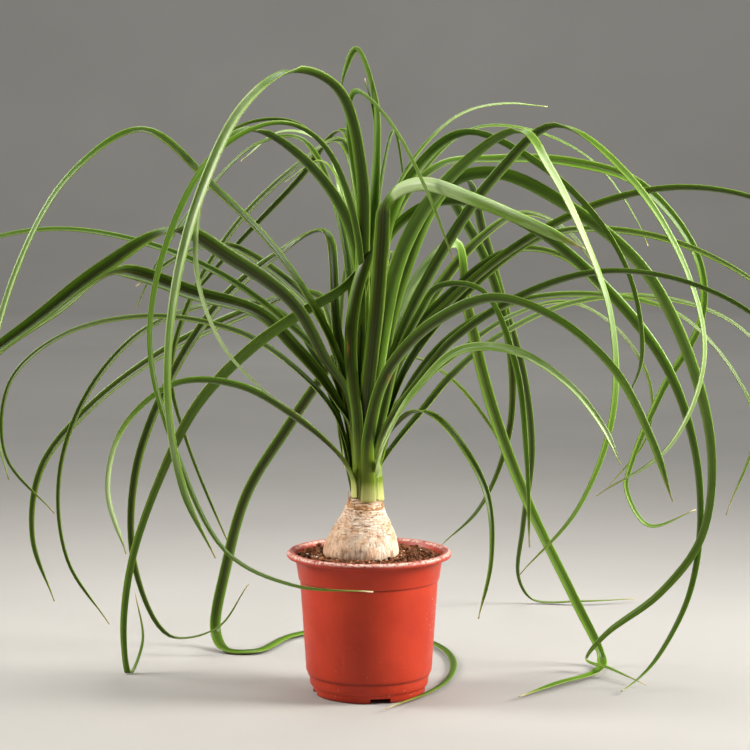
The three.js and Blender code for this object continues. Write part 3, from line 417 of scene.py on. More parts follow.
def linear(red, green, blue):
    """A colour in screen values from 0 to 255, as the linear colour that a shader takes."""
    channels = [value / 255 for value in (red, green, blue)]
    return tuple(c / 12.92 if c <= 0.04045 else ((c + 0.055) / 1.055) ** 2.4 for c in channels) + (1.0,)


# Material nodes

class Nodes:
    """Short calls for the nodes of one material. Its colour is laid on in layers, one over the other."""

    def __init__(self, name):
        self.material = bpy.data.materials.new(name)
        self.material.use_nodes = True
        self.tree = self.material.node_tree
        self.shader = self.tree.nodes["Principled BSDF"]
        self.place = self.tree.nodes.new("ShaderNodeTexCoord").outputs["Object"]
        self.colour = None

    def add(self, kind, **settings):
        node = self.tree.nodes.new(kind)
        for key, value in settings.items():
            setattr(node, key, value)
        return node

    def put(self, value, socket):
        if isinstance(value, bpy.types.NodeSocket):
            self.tree.links.new(value, socket)
        else:
            socket.default_value = value

    def scaled(self, vector, scale):
        node = self.add("ShaderNodeMapping")
        self.put(vector, node.inputs["Vector"])
        node.inputs["Scale"].default_value = scale
        return node.outputs["Vector"]

    def noise(self, vector, scale, detail=4.0, roughness=0.55):
        node = self.add("ShaderNodeTexNoise")
        self.put(vector, node.inputs["Vector"])
        node.inputs["Scale"].default_value = scale
        node.inputs["Detail"].default_value = detail
        node.inputs["Roughness"].default_value = roughness
        return node.outputs["Fac"]

    def cells(self, vector, scale):
        node = self.add("ShaderNodeTexVoronoi")
        self.put(vector, node.inputs["Vector"])
        node.inputs["Scale"].default_value = scale
        return node.outputs["Distance"]

    def span(self, value, low, high, new_low=0.0, new_high=1.0):
        node = self.add("ShaderNodeMapRange")
        for socket, number in zip(node.inputs, (value, low, high, new_low, new_high)):
            self.put(number, socket)
        return node.outputs["Result"]

    def band(self, value, start, full, fading, end):
        """1 from full to fading, and 0 below start and above end."""
        return self.times(self.span(value, start, full), self.span(value, end, fading))

    def maths(self, operation, first, second=0.0):
        node = self.add("ShaderNodeMath", operation=operation)
        self.put(first, node.inputs[0])
        self.put(second, node.inputs[1])
        return node.outputs[0]

    def times(self, first, second):
        return self.maths("MULTIPLY", first, second)

    def plus(self, first, second):
        return self.maths("ADD", first, second)

    def most(self, first, second):
        return self.maths("MAXIMUM", first, second)

    def apart(self, value, middle):
        """How far a value lies from a middle one, to either side."""
        return self.maths("ABSOLUTE", self.maths("SUBTRACT", value, middle))

    def ramp(self, value, *stops):
        """The first layer, from stops that hold a position and a colour in screen values."""
        node = self.add("ShaderNodeValToRGB")
        self.put(value, node.inputs["Fac"])
        band = node.color_ramp
        while len(band.elements) < len(stops):
            band.elements.new(0.5)
        for element, (position, *colour) in zip(band.elements, stops):
            element.position = position
            element.color = linear(*colour)
        self.colour = node.outputs["Color"]

    def paint(self, share, red, green, blue):
        """The next layer, of one colour in screen values, as thick as its share."""
        node = self.add("ShaderNodeMix", data_type="RGBA")
        self.put(share, node.inputs[0])
        self.put(self.colour, node.inputs[6])
        self.put(linear(red, green, blue), node.inputs[7])
        self.colour = node.outputs[2]

    def attribute(self, name):
        return self.add("ShaderNodeAttribute", attribute_name=name).outputs["Fac"]

    def axis(self, vector, name):
        node = self.add("ShaderNodeSeparateXYZ")
        self.put(vector, node.inputs[0])
        return node.outputs[name]

    def length(self, vector):
        node = self.add("ShaderNodeVectorMath", operation="LENGTH")
        self.put(vector, node.inputs[0])
        return node.outputs["Value"]

    def around(self, centre, reach):
        """How near a place lies to a point, from 1 close to it to 0 at the end of an oval reach."""
        node = self.add("ShaderNodeMapping")
        self.put(self.place, node.inputs["Vector"])
        node.inputs["Scale"].default_value = [1 / (length * MM) for length in reach]
        node.inputs["Location"].default_value = [-middle / length for middle, length in zip(centre, reach)]
        return self.span(self.length(node.outputs["Vector"]), 1.0, 0.4)

    def bump(self, height, distance, strength):
        node = self.add("ShaderNodeBump")
        self.put(height, node.inputs["Height"])
        node.inputs["Distance"].default_value = distance
        node.inputs["Strength"].default_value = strength
        self.tree.links.new(node.outputs["Normal"], self.shader.inputs["Normal"])

    def finish(self, roughness, specular):
        self.put(self.colour, self.shader.inputs["Base Color"])
        self.put(roughness, self.shader.inputs["Roughness"])
        self.shader.inputs["Specular IOR Level"].default_value = specular
        return self.material


def pot_plastic():
    n = Nodes("worn_terracotta_plastic")
    height = n.axis(n.place, "Z")
    outward = n.length(n.scaled(n.place, (1, 1, 0)))
    mottle = n.noise(n.place, 26, 4)
    patches = n.noise(n.place, 95, 6, 0.65)
    fine = n.noise(n.place, 420, 4, 0.7)
    streaks = n.noise(n.scaled(n.place, (1, 1, 0.08)), 190, 3)
    scratches = n.noise(n.scaled(n.place, (900, 900, 60)), 1.0, 2)
    n.ramp(mottle, (0.3, 172, 46, 22), (0.7, 192, 58, 30))
    n.paint(n.span(streaks, 0.62, 0.8, 0, 0.16), 214, 92, 60)
    # Painted shade: the lip is painted a darker red-brown.
    n.paint(n.times(n.span(height, *LIP_PAINTED_SHADE), 0.8), 158, 62, 50)
    outer_edge = n.span(n.apart(outward, OUTER_EDGE), 0.0016, 0.0006)
    inner_edge = n.span(n.apart(outward, INNER_EDGE), 0.0014, 0.0005)
    edges = n.most(outer_edge, n.times(inner_edge, 0.8))
    crust = n.times(n.most(edges, 0.3), n.span(fine, 0.40, 0.54))
    residue = n.times(n.span(height, *LIP_RESIDUE), n.times(crust, n.span(patches, 0.34, 0.5)))
    n.paint(residue, 232, 200, 184)
    scuffs = n.times(n.span(n.cells(n.place, 330), 0.26, 0.1), n.span(patches, 0.48, 0.54))
    worn_wall = n.most(n.times(n.around(*PALE_PATCH), 0.8), n.span(height, *WALL_SCUFFS, 0.0, 0.07))
    n.paint(n.times(scuffs, n.most(n.band(height, *FOOT_SCUFFS), worn_wall)), 244, 224, 210)
    n.paint(n.times(n.span(height, *FOOT_GRIME), n.span(mottle, 0.4, 0.6, 0.2, 0.8)), 92, 34, 22)
    # Painted shade: thin dark lines under the band and under the step.
    painted_shade_lines = n.most(n.band(height, *SHADE_UNDER_BAND), n.band(height, *SHADE_UNDER_STEP))
    n.paint(n.times(painted_shade_lines, 0.6), 92, 26, 16)
    n.bump(n.plus(scratches, n.times(patches, 1.5)), 0.00012, 0.5)
    return n.finish(n.plus(n.span(patches, 0.3, 0.7, 0.34, 0.48), n.times(residue, 0.4)), 0.26)


def potting_soil():
    n = Nodes("crumbly_potting_soil")
    kind = n.attribute("kind")
    grain = n.noise(n.place, 420, 6, 0.7)
    clods = n.noise(n.place, 150, 4, 0.6)
    n.ramp(grain, (0.34, 30, 17, 11), (0.5, 96, 58, 38), (0.68, 170, 122, 88))
    n.paint(n.span(clods, 0.5, 0.62, 0, 0.6), 128, 74, 46)
    n.paint(n.span(clods, 0.46, 0.36, 0, 0.75), 20, 11, 7)
    n.paint(n.span(kind, 0.2, 0.45, 0, 0.6), 150, 88, 54)
    n.paint(n.span(kind, 0.55, 0.7, 0, 0.85), 212, 172, 130)
    n.paint(n.span(kind, 0.85, 0.95), 240, 236, 226)
    n.bump(grain, 0.0009, 1.0)
    return n.finish(n.span(grain, 0.3, 0.7, 0.85, 1.0), 0.15)


def cork_bark():
    n = Nodes("tan_cork_bark")
    height = n.axis(n.place, "Z")
    sideways = n.axis(n.place, "X")
    warp = n.noise(n.place, 60, 4)
    upright = n.scaled(n.place, (1, 1, 0.16))
    level = n.scaled(n.place, (1, 1, 4.5))
    fibres = n.noise(upright, 620, 4, 0.65)
    cracks = n.noise(upright, 380, 5, 0.7)
    flakes = n.noise(level, 240, 6, 0.75)
    specks = n.noise(n.place, 700, 3, 0.6)
    patches = n.noise(n.place, 130, 4, 0.6)
    n.ramp(warp, (0.3, 228, 194, 156), (0.5, 250, 232, 208), (0.7, 255, 248, 236))
    # Painted shade: the left side of the bark is painted darker, with random variation from the warp.
    painted_shade_and_mottle = n.plus(n.span(sideways, *BARK_SHADY_SIDE, 0, 0.6), n.span(warp, 0.4, 0.6, -0.2, 0.2))
    n.paint(painted_shade_and_mottle, 190, 138, 94)
    n.paint(n.span(patches, 0.50, 0.62, 0, 0.5), 214, 154, 104)
    n.paint(n.times(n.span(fibres, 0.50, 0.62, 0, 0.65), n.span(height, *BARK_FIBRES)), 188, 146, 108)
    crack = n.times(n.span(cracks, 0.55, 0.63), n.span(height, *BARK_CRACKS, 0.1, 0.6))
    n.paint(crack, 160, 118, 84)
    upper = n.span(height, *BARK_FLAKES)
    n.paint(n.times(n.times(n.span(flakes, 0.50, 0.56), upper), 0.7), 192, 136, 90)
    torn = n.times(n.span(flakes, 0.57, 0.64), upper)
    n.paint(n.times(torn, 0.8), 134, 84, 50)
    n.paint(n.span(specks, 0.62, 0.7, 0, 0.6), 140, 92, 56)
    n.paint(n.span(specks, 0.36, 0.3, 0, 0.6), 252, 240, 220)
    n.paint(n.span(n.attribute("dip"), 0.3, 1.0, 0, 0.75), 146, 96, 58)
    n.paint(n.times(n.span(height, *BARK_NECK), n.span(flakes, 0.4, 0.6, 0.4, 1)), 150, 100, 56)
    n.paint(n.times(n.span(height, *BARK_SOILED), n.span(warp, 0.35, 0.6, 0.1, 0.7)), 118, 82, 54)
    relief = n.plus(n.times(specks, 0.5), fibres)
    n.bump(n.maths("SUBTRACT", relief, n.times(n.most(crack, torn), 1.2)), 0.0007, 0.9)
    return n.finish(n.span(specks, 0.3, 0.7, 0.7, 0.92), 0.3)


def dry_scale():
    n = Nodes("papery_brown_scale")
    streaks = n.noise(n.scaled(n.place, (1, 1, 0.12)), 800, 4, 0.7)
    n.ramp(streaks, (0.35, 140, 92, 52), (0.55, 188, 138, 90), (0.7, 216, 178, 128))
    n.bump(streaks, 0.0003, 0.8)
    return n.finish(n.span(streaks, 0.3, 0.7, 0.6, 0.85), 0.3)


def leaf_blade():
    n = Nodes("satin_green_leaf")
    chart = n.add("ShaderNodeUVMap", uv_map="blade").outputs["UV"]
    from_middle = n.apart(n.axis(chart, "X"), 0.5)
    painted_light = n.attribute("painted_light")
    dry = n.attribute("dry")
    crown = n.attribute("crown")
    veins = n.noise(n.scaled(chart, (52, 1.2, 1)), 1.0, 2)
    broad_veins = n.noise(n.scaled(chart, (9, 0.7, 1)), 1.0, 3)
    drift = n.noise(n.scaled(chart, (1.2, 9, 1)), 1.0, 3)
    mottle = n.noise(n.place, 30, 3)
    flecks = n.noise(n.scaled(n.place, (1, 1, 0.2)), 700, 3)
    # Painted light and shade: the base colour runs from a dark green for blade parts in shade to a pale
    # whitish green, a painted highlight, for lit ones.
    n.ramp(n.plus(painted_light, n.span(drift, 0.3, 0.7, -0.12, 0.12)), (0.0, 34, 52, 4), (0.3, 54, 84, 4),
           (0.6, 78, 120, 14), (0.85, 122, 158, 62), (1.0, 182, 204, 146))
    # Painted light: both sides of the channel are painted a brighter green, more on darker blades.
    painted_lit_sides = n.times(n.span(from_middle, 0.2, 0.33, 0, 0.45), n.span(painted_light, 0.9, 0.3, 0.2, 1))
    n.paint(painted_lit_sides, 104, 140, 22)
    # Painted shade: the middle of the channel is painted a dark olive, less on brighter blades.
    painted_groove_shade = n.times(n.span(from_middle, 0.28, 0.12, 0, 0.7), n.span(painted_light, 1.0, 0.3, 0.1, 1))
    n.paint(painted_groove_shade, 56, 58, 5)
    n.paint(n.span(veins, 0.4, 0.7, 0, 0.16), 36, 56, 4)
    n.paint(n.span(broad_veins, 0.5, 0.75, 0, 0.14), 130, 164, 44)
    n.paint(n.span(mottle, 0.64, 0.8, 0, 0.2), 116, 122, 30)
    # Near the crown the blades are painted a lighter yellow-green: partly the paler sheath, partly a painted
    # glow as if light shone through them.
    sheath = n.times(n.span(crown, 0.2, 0.95), n.span(veins, 0.35, 0.65, 0.45, 0.85))
    n.paint(sheath, 132, 156, 40)
    foot = n.plus(n.span(crown, 0.87, 1.0), n.span(broad_veins, 0.3, 0.7, -0.25, 0.15))
    n.paint(n.times(foot, 0.85), 208, 206, 132)
    n.paint(n.span(from_middle, 0.45, 0.48, 0, 0.5), 156, 176, 84)
    # Painted shade: near the crown the margins are painted dark where the sheaths overlap.
    painted_gap_shade = n.times(n.span(from_middle, 0.44, 0.48), n.span(crown, 0.1, 0.5, 0, 0.85))
    n.paint(painted_gap_shade, 62, 74, 14)
    bruise = n.times(n.most(n.around(*LEFT_BRUISE), n.around(*RIGHT_BRUISE)), n.span(flecks, 0.46, 0.56))
    n.paint(n.times(bruise, 0.85), 146, 92, 54)
    ragged = n.plus(n.axis(chart, "Y"), n.span(veins, 0.3, 0.7, -0.006, 0.006))
    fading = n.times(n.span(ragged, *FADED_END), dry)
    n.paint(fading, 150, 150, 66)
    n.paint(n.times(n.span(ragged, *DRY_END), dry), 206, 190, 150)
    n.bump(n.plus(veins, n.times(broad_veins, 0.8)), 0.00015, 0.5)
    return n.finish(n.plus(n.span(veins, 0.3, 0.7, 0.32, 0.42), n.times(fading, 0.3)), 0.24)


# Meshes

def piece_from(name, bm, material):
    """A smooth scene object at the origin from a finished bmesh."""
    mesh = bpy.data.meshes.new(name)
    for face in bm.faces:
        face.smooth = True
    bm.to_mesh(mesh)
    bm.free()
    piece = bpy.data.objects.new(name, mesh)
    bpy.context.scene.collection.objects.link(piece)
    mesh.materials.append(material)
    return piece


def add_turned(bm, profile, steps, unit=MM):
    """A grid bent round the upright axis to (height, radius) pairs, and closed at its seam and poles."""
    rows = len(profile) - 1
    grid = bmesh.ops.create_grid(bm, x_segments=steps, y_segments=rows, size=1)
    for vert in grid["verts"]:
        angle = round((vert.co.x + 1) / 2 * steps) / steps * 2 * math.pi
        height, radius = profile[round((vert.co.y + 1) / 2 * rows)]
        vert.co = (radius * math.cos(angle) * unit, radius * math.sin(angle) * unit, height * unit)
    bmesh.ops.remove_doubles(bm, verts=grid["verts"], dist=MERGE_DISTANCE)


def spun(profile, steps, axis=(0, 0)):
    """A closed body of revolution from (height, radius) pairs in millimetres, from the axis and back."""
    bm = bmesh.new()
    add_turned(bm, profile, steps)
    bmesh.ops.recalc_face_normals(bm, faces=bm.faces)
    bmesh.ops.translate(bm, verts=bm.verts, vec=(axis[0] * MM, axis[1] * MM, 0))
    return bm


def curve_through(points, parts):
    """A centripetal curve through the points, with a number of parts in each span."""
    ends = [2 * points[0] - points[1], *points, 2 * points[-1] - points[-2]]
    line = []
    for before, start, end, after in zip(ends, ends[1:], ends[2:], ends[3:]):
        pairs = ((before, start), (start, end), (end, after))
        first, middle, last = (math.sqrt((b - a).length) for a, b in pairs)
        leave = (start - before) / first - (end - before) / (first + middle) + (end - start) / middle
        arrive = (end - start) / middle - (after - start) / (middle + last) + (after - end) / last
        for part in range(parts):
            t = part / parts
            line.append(
                start * (2 * t**3 - 3 * t**2 + 1) + leave * middle * (t**3 - 2 * t**2 + t)
                + end * (3 * t**2 - 2 * t**3) + arrive * middle * (t**3 - t**2)
            )
    line.append(points[-1].copy())
    return line


def smooth(share):
    share = min(1.0, max(0.0, share))
    return share * share * (3 - 2 * share)


def span(value, low, high):
    return min(1.0, max(0.0, (value - low) / (high - low)))


# Pot

def cut(piece, cutter_bm):
    """Cut a shape out of a piece and remove the cutter."""
    mesh = bpy.data.meshes.new("cutter")
    cutter_bm.to_mesh(mesh)
    cutter_bm.free()
    cutter = bpy.data.objects.new("cutter", mesh)
    bpy.context.scene.collection.objects.link(cutter)
    modifier = piece.modifiers.new("cut", "BOOLEAN")
    modifier.operation = "DIFFERENCE"
    modifier.solver = "EXACT"
    modifier.object = cutter
    bpy.context.view_layer.update()
    shaped = bpy.data.meshes.new_from_object(piece.evaluated_get(bpy.context.evaluated_depsgraph_get()))
    piece.modifiers.clear()
    plain = piece.data
    piece.data = shaped
    bpy.data.meshes.remove(plain)
    bpy.data.objects.remove(cutter)
    bpy.data.meshes.remove(mesh)


def pot_profile():
    outside = [
        (0.6, FOOT_RADIUS), (FOOT_TOP - 0.4, FOOT_TOP_RADIUS - 0.1), (FOOT_TOP + 0.3, FOOT_TOP_RADIUS + 0.2),
        (STEP_BOTTOM - 0.5, STEP_BOTTOM_RADIUS - 0.5), (STEP_BOTTOM + 0.4, STEP_BOTTOM_RADIUS),
        (STEP_TOP - 0.6, STEP_TOP_RADIUS - 0.1), (STEP_TOP, STEP_TOP_RADIUS + 0.1),
        (STEP_TOP + 0.3, STEP_TOP_RADIUS + 0.9), (WALL_BOTTOM - 1, WALL_BOTTOM_RADIUS - 0.7),
        (WALL_BOTTOM + 0.5, WALL_BOTTOM_RADIUS), (51, (WALL_BOTTOM_RADIUS + BAND_BOTTOM_RADIUS - 1) / 2),
        (BAND_BOTTOM - 0.7, BAND_BOTTOM_RADIUS - 1), (BAND_BOTTOM - 0.5, BAND_BOTTOM_RADIUS - 0.2),
        (BAND_BOTTOM, BAND_BOTTOM_RADIUS),
        (RIM_UNDERSIDE - 0.6, WALL_TOP_RADIUS - 0.2), (RIM_UNDERSIDE, WALL_TOP_RADIUS + 0.4),
    ]
    lip = [
        (RIM_UNDERSIDE, RIM_RADIUS - 1.1), (RIM_UNDERSIDE + 0.3, RIM_RADIUS - 0.4),
        (RIM_UNDERSIDE + 0.9, RIM_RADIUS - 0.1), (RIM_TOP - 2.4, RIM_RADIUS),
        (RIM_TOP - 1.4, RIM_RADIUS - 0.3),
        (RIM_TOP - 0.5, RIM_RADIUS - 1.1), (RIM_TOP - 0.1, RIM_RADIUS - 2.1), (RIM_TOP, RIM_RADIUS - 3.2),
        (RIM_TOP - 0.3, WALL_TOP_RADIUS + 1.4), (RIM_TOP - 1.1, WALL_TOP_RADIUS + 0.5),
        (RIM_TOP - 2.5, WALL_TOP_RADIUS - 0.4), (RIM_TOP - 4, WALL_TOP_RADIUS - POT_WALL + 0.1),
    ]
    inside = [(height, radius - POT_WALL) for height, radius in reversed(outside[:-1]) if height > STEP_TOP]
    floor_top = RECESS_HEIGHT + FLOOR_THICKNESS
    return [
        (0, 0), (0, PAD_RADIUS - 0.4), (0.4, PAD_RADIUS), (RECESS_HEIGHT, PAD_RADIUS + 1),
        (RECESS_HEIGHT, FOOT_RADIUS - FOOT_RING), (0.4, FOOT_RADIUS - FOOT_RING + 0.2),
        (0, FOOT_RADIUS - FOOT_RING + 0.7), (0, FOOT_RADIUS - 0.6), *outside, *lip, *inside,
        (floor_top + 1, FOOT_RADIUS - POT_WALL + 0.6), (floor_top, FOOT_RADIUS - POT_WALL - 1),
        (floor_top, 0),
    ]


def make_pot():
    piece = piece_from("pot_shell", spun(pot_profile(), POT_STEPS), pot_plastic())
    cutters = bmesh.new()
    for i in range(NOTCH_COUNT):
        angle = math.radians(FRONT_NOTCH_DEG) + i * 2 * math.pi / NOTCH_COUNT
        size = Matrix.Diagonal((NOTCH_DEPTH * MM, NOTCH_WIDTH * MM, 2 * RECESS_HEIGHT * MM, 1))
        place = Matrix.Translation(((FOOT_RADIUS - FOOT_RING + NOTCH_OUTWARD) * MM, 0, 0))
        bmesh.ops.create_cube(cutters, size=1, matrix=Matrix.Rotation(angle, 4, "Z") @ place @ size)
    for i in range(DRAIN_COUNT):
        angle = (i + 0.5) * 2 * math.pi / DRAIN_COUNT
        place = (DRAIN_CIRCLE * math.cos(angle) * MM, DRAIN_CIRCLE * math.sin(angle) * MM, RECESS_HEIGHT * MM)
        bmesh.ops.create_cone(cutters, cap_ends=True, segments=24, radius1=DRAIN_RADIUS * MM,
                              radius2=DRAIN_RADIUS * MM, depth=4 * FLOOR_THICKNESS * MM,
                              matrix=Matrix.Translation(place))
    cut(piece, cutters)
    edges = piece.modifiers.new("hard_edges", "EDGE_SPLIT")
    edges.split_angle = math.radians(HARD_EDGE_DEG)
    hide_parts("pot")
    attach(piece, "root")


# Soil

def soil_height(x, y):
    """Height of the soil's surface in millimetres: clods, crumbs and a dip against the wall."""
    edge = span(math.hypot(x, y), SOIL_RADIUS - 6, SOIL_RADIUS)
    clods = CLOD_RELIEF * noise.noise(Vector((x * CLOD_FINENESS, y * CLOD_FINENESS, 3.0)))
    crumbs = CRUMB_RELIEF * noise.noise(Vector((x * CRUMB_FINENESS, y * CRUMB_FINENESS, 9.0)))
    crumbs += GRAIN_RELIEF * noise.noise(Vector((x, y, 5.0)))
    return SOIL_TOP - EDGE_DIP * edge**2 + (clods + crumbs) * (1 - 0.4 * edge)


def soil_body():
    bottom = RECESS_HEIGHT + FLOOR_THICKNESS + 0.5
    wall = [(bottom, FOOT_RADIUS - 3), (WALL_BOTTOM, WALL_BOTTOM_RADIUS - POT_WALL - 0.8),
            (BAND_BOTTOM - 2, BAND_BOTTOM_RADIUS - POT_WALL - 1.6), (SOIL_TOP - 2, SOIL_RADIUS)]
    top = [(SOIL_TOP, SOIL_RADIUS * (1 - i / SOIL_RINGS)) for i in range(1, SOIL_RINGS)]
    bm = spun([(bottom, 0), *wall, *top, (SOIL_TOP, 0)], SOIL_STEPS)
    for vert in bm.verts:
        if vert.co.z > (SOIL_TOP - 1) * MM:
            vert.co.z = soil_height(vert.co.x / MM, vert.co.y / MM) * MM
    return bm


def scatter_place(chance, outer=SOIL_RADIUS):
    """A random place on the soil, outside the woody base."""
    while True:
        x, y = chance.uniform(-SOIL_RADIUS, SOIL_RADIUS), chance.uniform(-SOIL_RADIUS, SOIL_RADIUS)
        from_base = math.hypot(x - CAUDEX_AXIS[0], y - CAUDEX_AXIS[1])
        if CAUDEX_RADIUS < from_base < outer and math.hypot(x, y) < SOIL_RADIUS - 1:
            return x, y


def add_crumb(bm, kinds, chance, place, size, kind, stretch):
    """One small stone, crumb or fibre, turned at random and half sunk in the surface."""
    x, y = place
    turn = Matrix.Rotation(chance.uniform(0, math.pi), 4, "Z")
    turn = turn @ Matrix.Rotation(chance.uniform(-0.5, 0.5), 4, "Y")
    place = Matrix.Translation((x * MM, y * MM, (soil_height(x, y) + CRUMB_RISE * size) * MM))
    form = Matrix.Diagonal((size * stretch * MM, size * MM, size * CRUMB_FLATNESS * MM, 1))
    made = bmesh.ops.create_icosphere(bm, subdivisions=1, radius=1, matrix=place @ turn @ form)
    for vert in made["verts"]:
        vert.co += CRUMB_ROUGHNESS * size * MM * noise.noise_vector(vert.co / (CRUMB_GRAIN * MM))
        vert[kinds] = kind


def make_soil():
    chance = random.Random(SOIL_SEED)
    noise.seed_set(SOIL_SEED)
    bm = soil_body()
    kinds = bm.verts.layers.float.new("kind")
    for _ in range(CRUMB_COUNT):
        size = SMALLEST_CRUMB + CRUMB_GROWTH * chance.random() ** 2
        add_crumb(bm, kinds, chance, scatter_place(chance), size, chance.choice((EARTH, EARTH, BARK)),
                  chance.uniform(*CRUMB_STRETCH))
    for _ in range(FIBRE_COUNT):
        add_crumb(bm, kinds, chance, scatter_place(chance), chance.uniform(*FIBRE_SIZE),
                  chance.choice((BARK, STRAW)), chance.uniform(*FIBRE_STRETCH))
    for _ in range(FLAKE_COUNT):
        add_crumb(bm, kinds, chance, scatter_place(chance, FLAKES_WITHIN), chance.uniform(*FLAKE_SIZE), STRAW,
                  chance.uniform(*FLAKE_STRETCH))
    for x, y, size in PERLITE_PLACES:
        add_crumb(bm, kinds, chance, (x, y), size, PERLITE, PERLITE_STRETCH)
    piece = piece_from("soil_surface", bm, potting_soil())
    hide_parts("soil")
    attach(piece, "root")


# Woody base

def bark_relief(point, height):
    """Outward relief in millimetres of the bark at a point on it, and how deep it lies from 0 to 1."""
    lower = 1 - span(height, 116, 132)
    upper = span(height, *SCAR_ZONE) * (1 - span(height, SCAR_ZONE[1], SCAR_ZONE[1] + 3))
    scar_phase = height + 0.9 * noise.noise(point * 0.09) + 0.35 * noise.noise(point * 0.35)
    scar = abs(math.sin(math.pi * scar_phase / SCAR_SPACING))
    squeezed = Vector((point.x, point.y, point.z * 0.42))
    fissure = abs(noise.noise(squeezed * 0.30)) + 0.5 * abs(noise.noise(squeezed * 0.62))
    fissure_dip = lower * (1 - span(fissure, 0.0, 0.16))
    scar_dip = span(height, SCAR_ZONE[0] - 4, SCAR_ZONE[0] + 4) * upper**0.3 * (1 - span(scar, 0.0, 0.45))
    swell = 0.8 * noise.noise(point * 0.05) + 0.4 * noise.noise(point * 0.22)
    relief = swell - FISSURE_DEPTH * fissure_dip - SCAR_DEPTH * scar_dip
    return relief, max(FISSURE_DEPTH * fissure_dip, scar_dip)


def caudex_radius(height):
    """Radius in millimetres of the woody base at a height."""
    for (low, inner), (high, outer) in zip(CAUDEX_PROFILE, CAUDEX_PROFILE[1:]):
        if low <= height <= high:
            return inner + (outer - inner) * (height - low) / (high - low)
    return 0


def add_scale(bm, azimuth, foot, length, width):
    """One thin dry scale that stands round the neck, ragged at its top."""
    strip = bmesh.ops.create_grid(bm, x_segments=8, y_segments=6, size=1)
    for vert in strip["verts"]:
        sideways, rise = vert.co.x, (vert.co.y + 1) / 2
        torn = 1 - 0.35 * abs(noise.noise(Vector((sideways * 4, azimuth, 0)))) - 0.3 * sideways**2
        height = foot + length * rise * torn
        radius = max(caudex_radius(height), SHEAF_RADIUS + 0.5) + 0.3 + 0.1 * rise
        angle = azimuth + sideways * width * (1 - 0.35 * rise) / 2 / radius
        axis = CAUDEX_AXIS[0] + CAUDEX_LEAN * (height - CAUDEX_WIDEST)
        vert.co = Vector((axis + radius * math.cos(angle), radius * math.sin(angle), height)) * MM


def make_scales():
    bm = bmesh.new()
    for azimuth, foot, length, width in SCALES:
        add_scale(bm, math.radians(azimuth), foot, length, width)
    bmesh.ops.recalc_face_normals(bm, faces=bm.faces)
    piece = piece_from("neck_scales", bm, dry_scale())
    body = piece.modifiers.new("body", "SOLIDIFY")
    body.thickness = SCALE_THICKNESS * MM
    body.offset = 0
    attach(piece, "root")


def make_caudex():
    line = curve_through([Vector(point).to_3d() for point in CAUDEX_PROFILE], PROFILE_FINENESS)
    profile = [(point.x, max(0.0, point.y)) for point in line]
    profile[0] = (CAUDEX_PROFILE[0][0], 0)
    profile[-1] = (CAUDEX_PROFILE[-1][0], 0)
    bm = spun(profile, CAUDEX_STEPS, CAUDEX_AXIS)
    bm.normal_update()
    dips = bm.verts.layers.float.new("dip")
    outward = {vert: vert.normal.copy() for vert in bm.verts}
    for vert, normal in outward.items():
        relief, dip = bark_relief(vert.co / MM, vert.co.z / MM)
        vert.co += normal * (relief + BARK_FULLNESS) * MM
        vert[dips] = dip
    for vert in bm.verts:
        vert.co.x += CAUDEX_LEAN * (vert.co.z - CAUDEX_WIDEST * MM)
    piece = piece_from("corky_base", bm, cork_bark())
    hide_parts("caudex")
    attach(piece, "root")


# Leaf routes

def true_point(seen_x, depth, seen_z):
    y = EYE_DISTANCE * ((EYE_Z - LYING_HEIGHT) / (EYE_Z - seen_z) - 1) if depth is LIES else depth
    share = (EYE_DISTANCE + y) / EYE_DISTANCE
    return Vector((EYE_X + (seen_x - EYE_X) * share, y, EYE_Z + (seen_z - EYE_Z) * share))


def read_leaf(name, width, shown, tones, tip_share, route):
    points = [true_point(*point[:3]) for point in route]
    folds = [(i, point[3]) for i, point in enumerate(route) if len(point) > 3]
    crown = Vector((*CROWN_AXIS, SHEATH_TOP))
    aim = next(point - crown for point in points[1:] if (point - crown).length > AIM_DISTANCE)
    return {
        "name": name, "width": width, "shown": shown, "tones": tones, "tip_share": tip_share,
        "points": points, "folds": folds,
        "azimuth": math.atan2(aim.y, aim.x), "rise": math.atan2(aim.z, math.hypot(aim.x, aim.y)),
    }


def turn_between(first, second):
    """The angle in degrees between two directions that are given in radians."""
    turn = abs(math.degrees(first - second)) % 360
    return min(turn, 360 - turn)


def spread_sheaths(leaves):
    leaves.sort(key=lambda leaf: leaf["azimuth"])
    for i, leaf in enumerate(leaves):
        even = (i + 0.5) / len(leaves) * 2 * math.pi - math.pi
        leaf["azimuth"] += SHEATH_SPREAD * (even - leaf["azimuth"])
        leaf["azimuth"] += math.radians(SHEATH_TURNS_DEG.get(leaf["name"], 0))


def place_sheaths(leaves):
    """The steepest leaves are the youngest and stand in the middle. Each next one lies over those beneath."""
    spread_sheaths(leaves)
    leaves.sort(key=lambda leaf: -leaf["rise"])
    for i, leaf in enumerate(leaves):
        leaf["radius"] = SHEATH_LAYER
        for inner in leaves[:i]:
            turn = math.radians(turn_between(leaf["azimuth"], inner["azimuth"]))
            if turn * inner["radius"] < SHEATH_ARC:
                leaf["radius"] = max(leaf["radius"], inner["radius"] + SHEATH_LAYER)
    layers = [(leaf["azimuth"], leaf["radius"]) for leaf in leaves]
    for leaf in leaves:
        beside = [
            radius for azimuth, radius in layers if turn_between(azimuth, leaf["azimuth"]) < SHEAF_SECTOR_DEG
        ]
        leaf["radius"] *= SHEAF_RADIUS / max(beside)


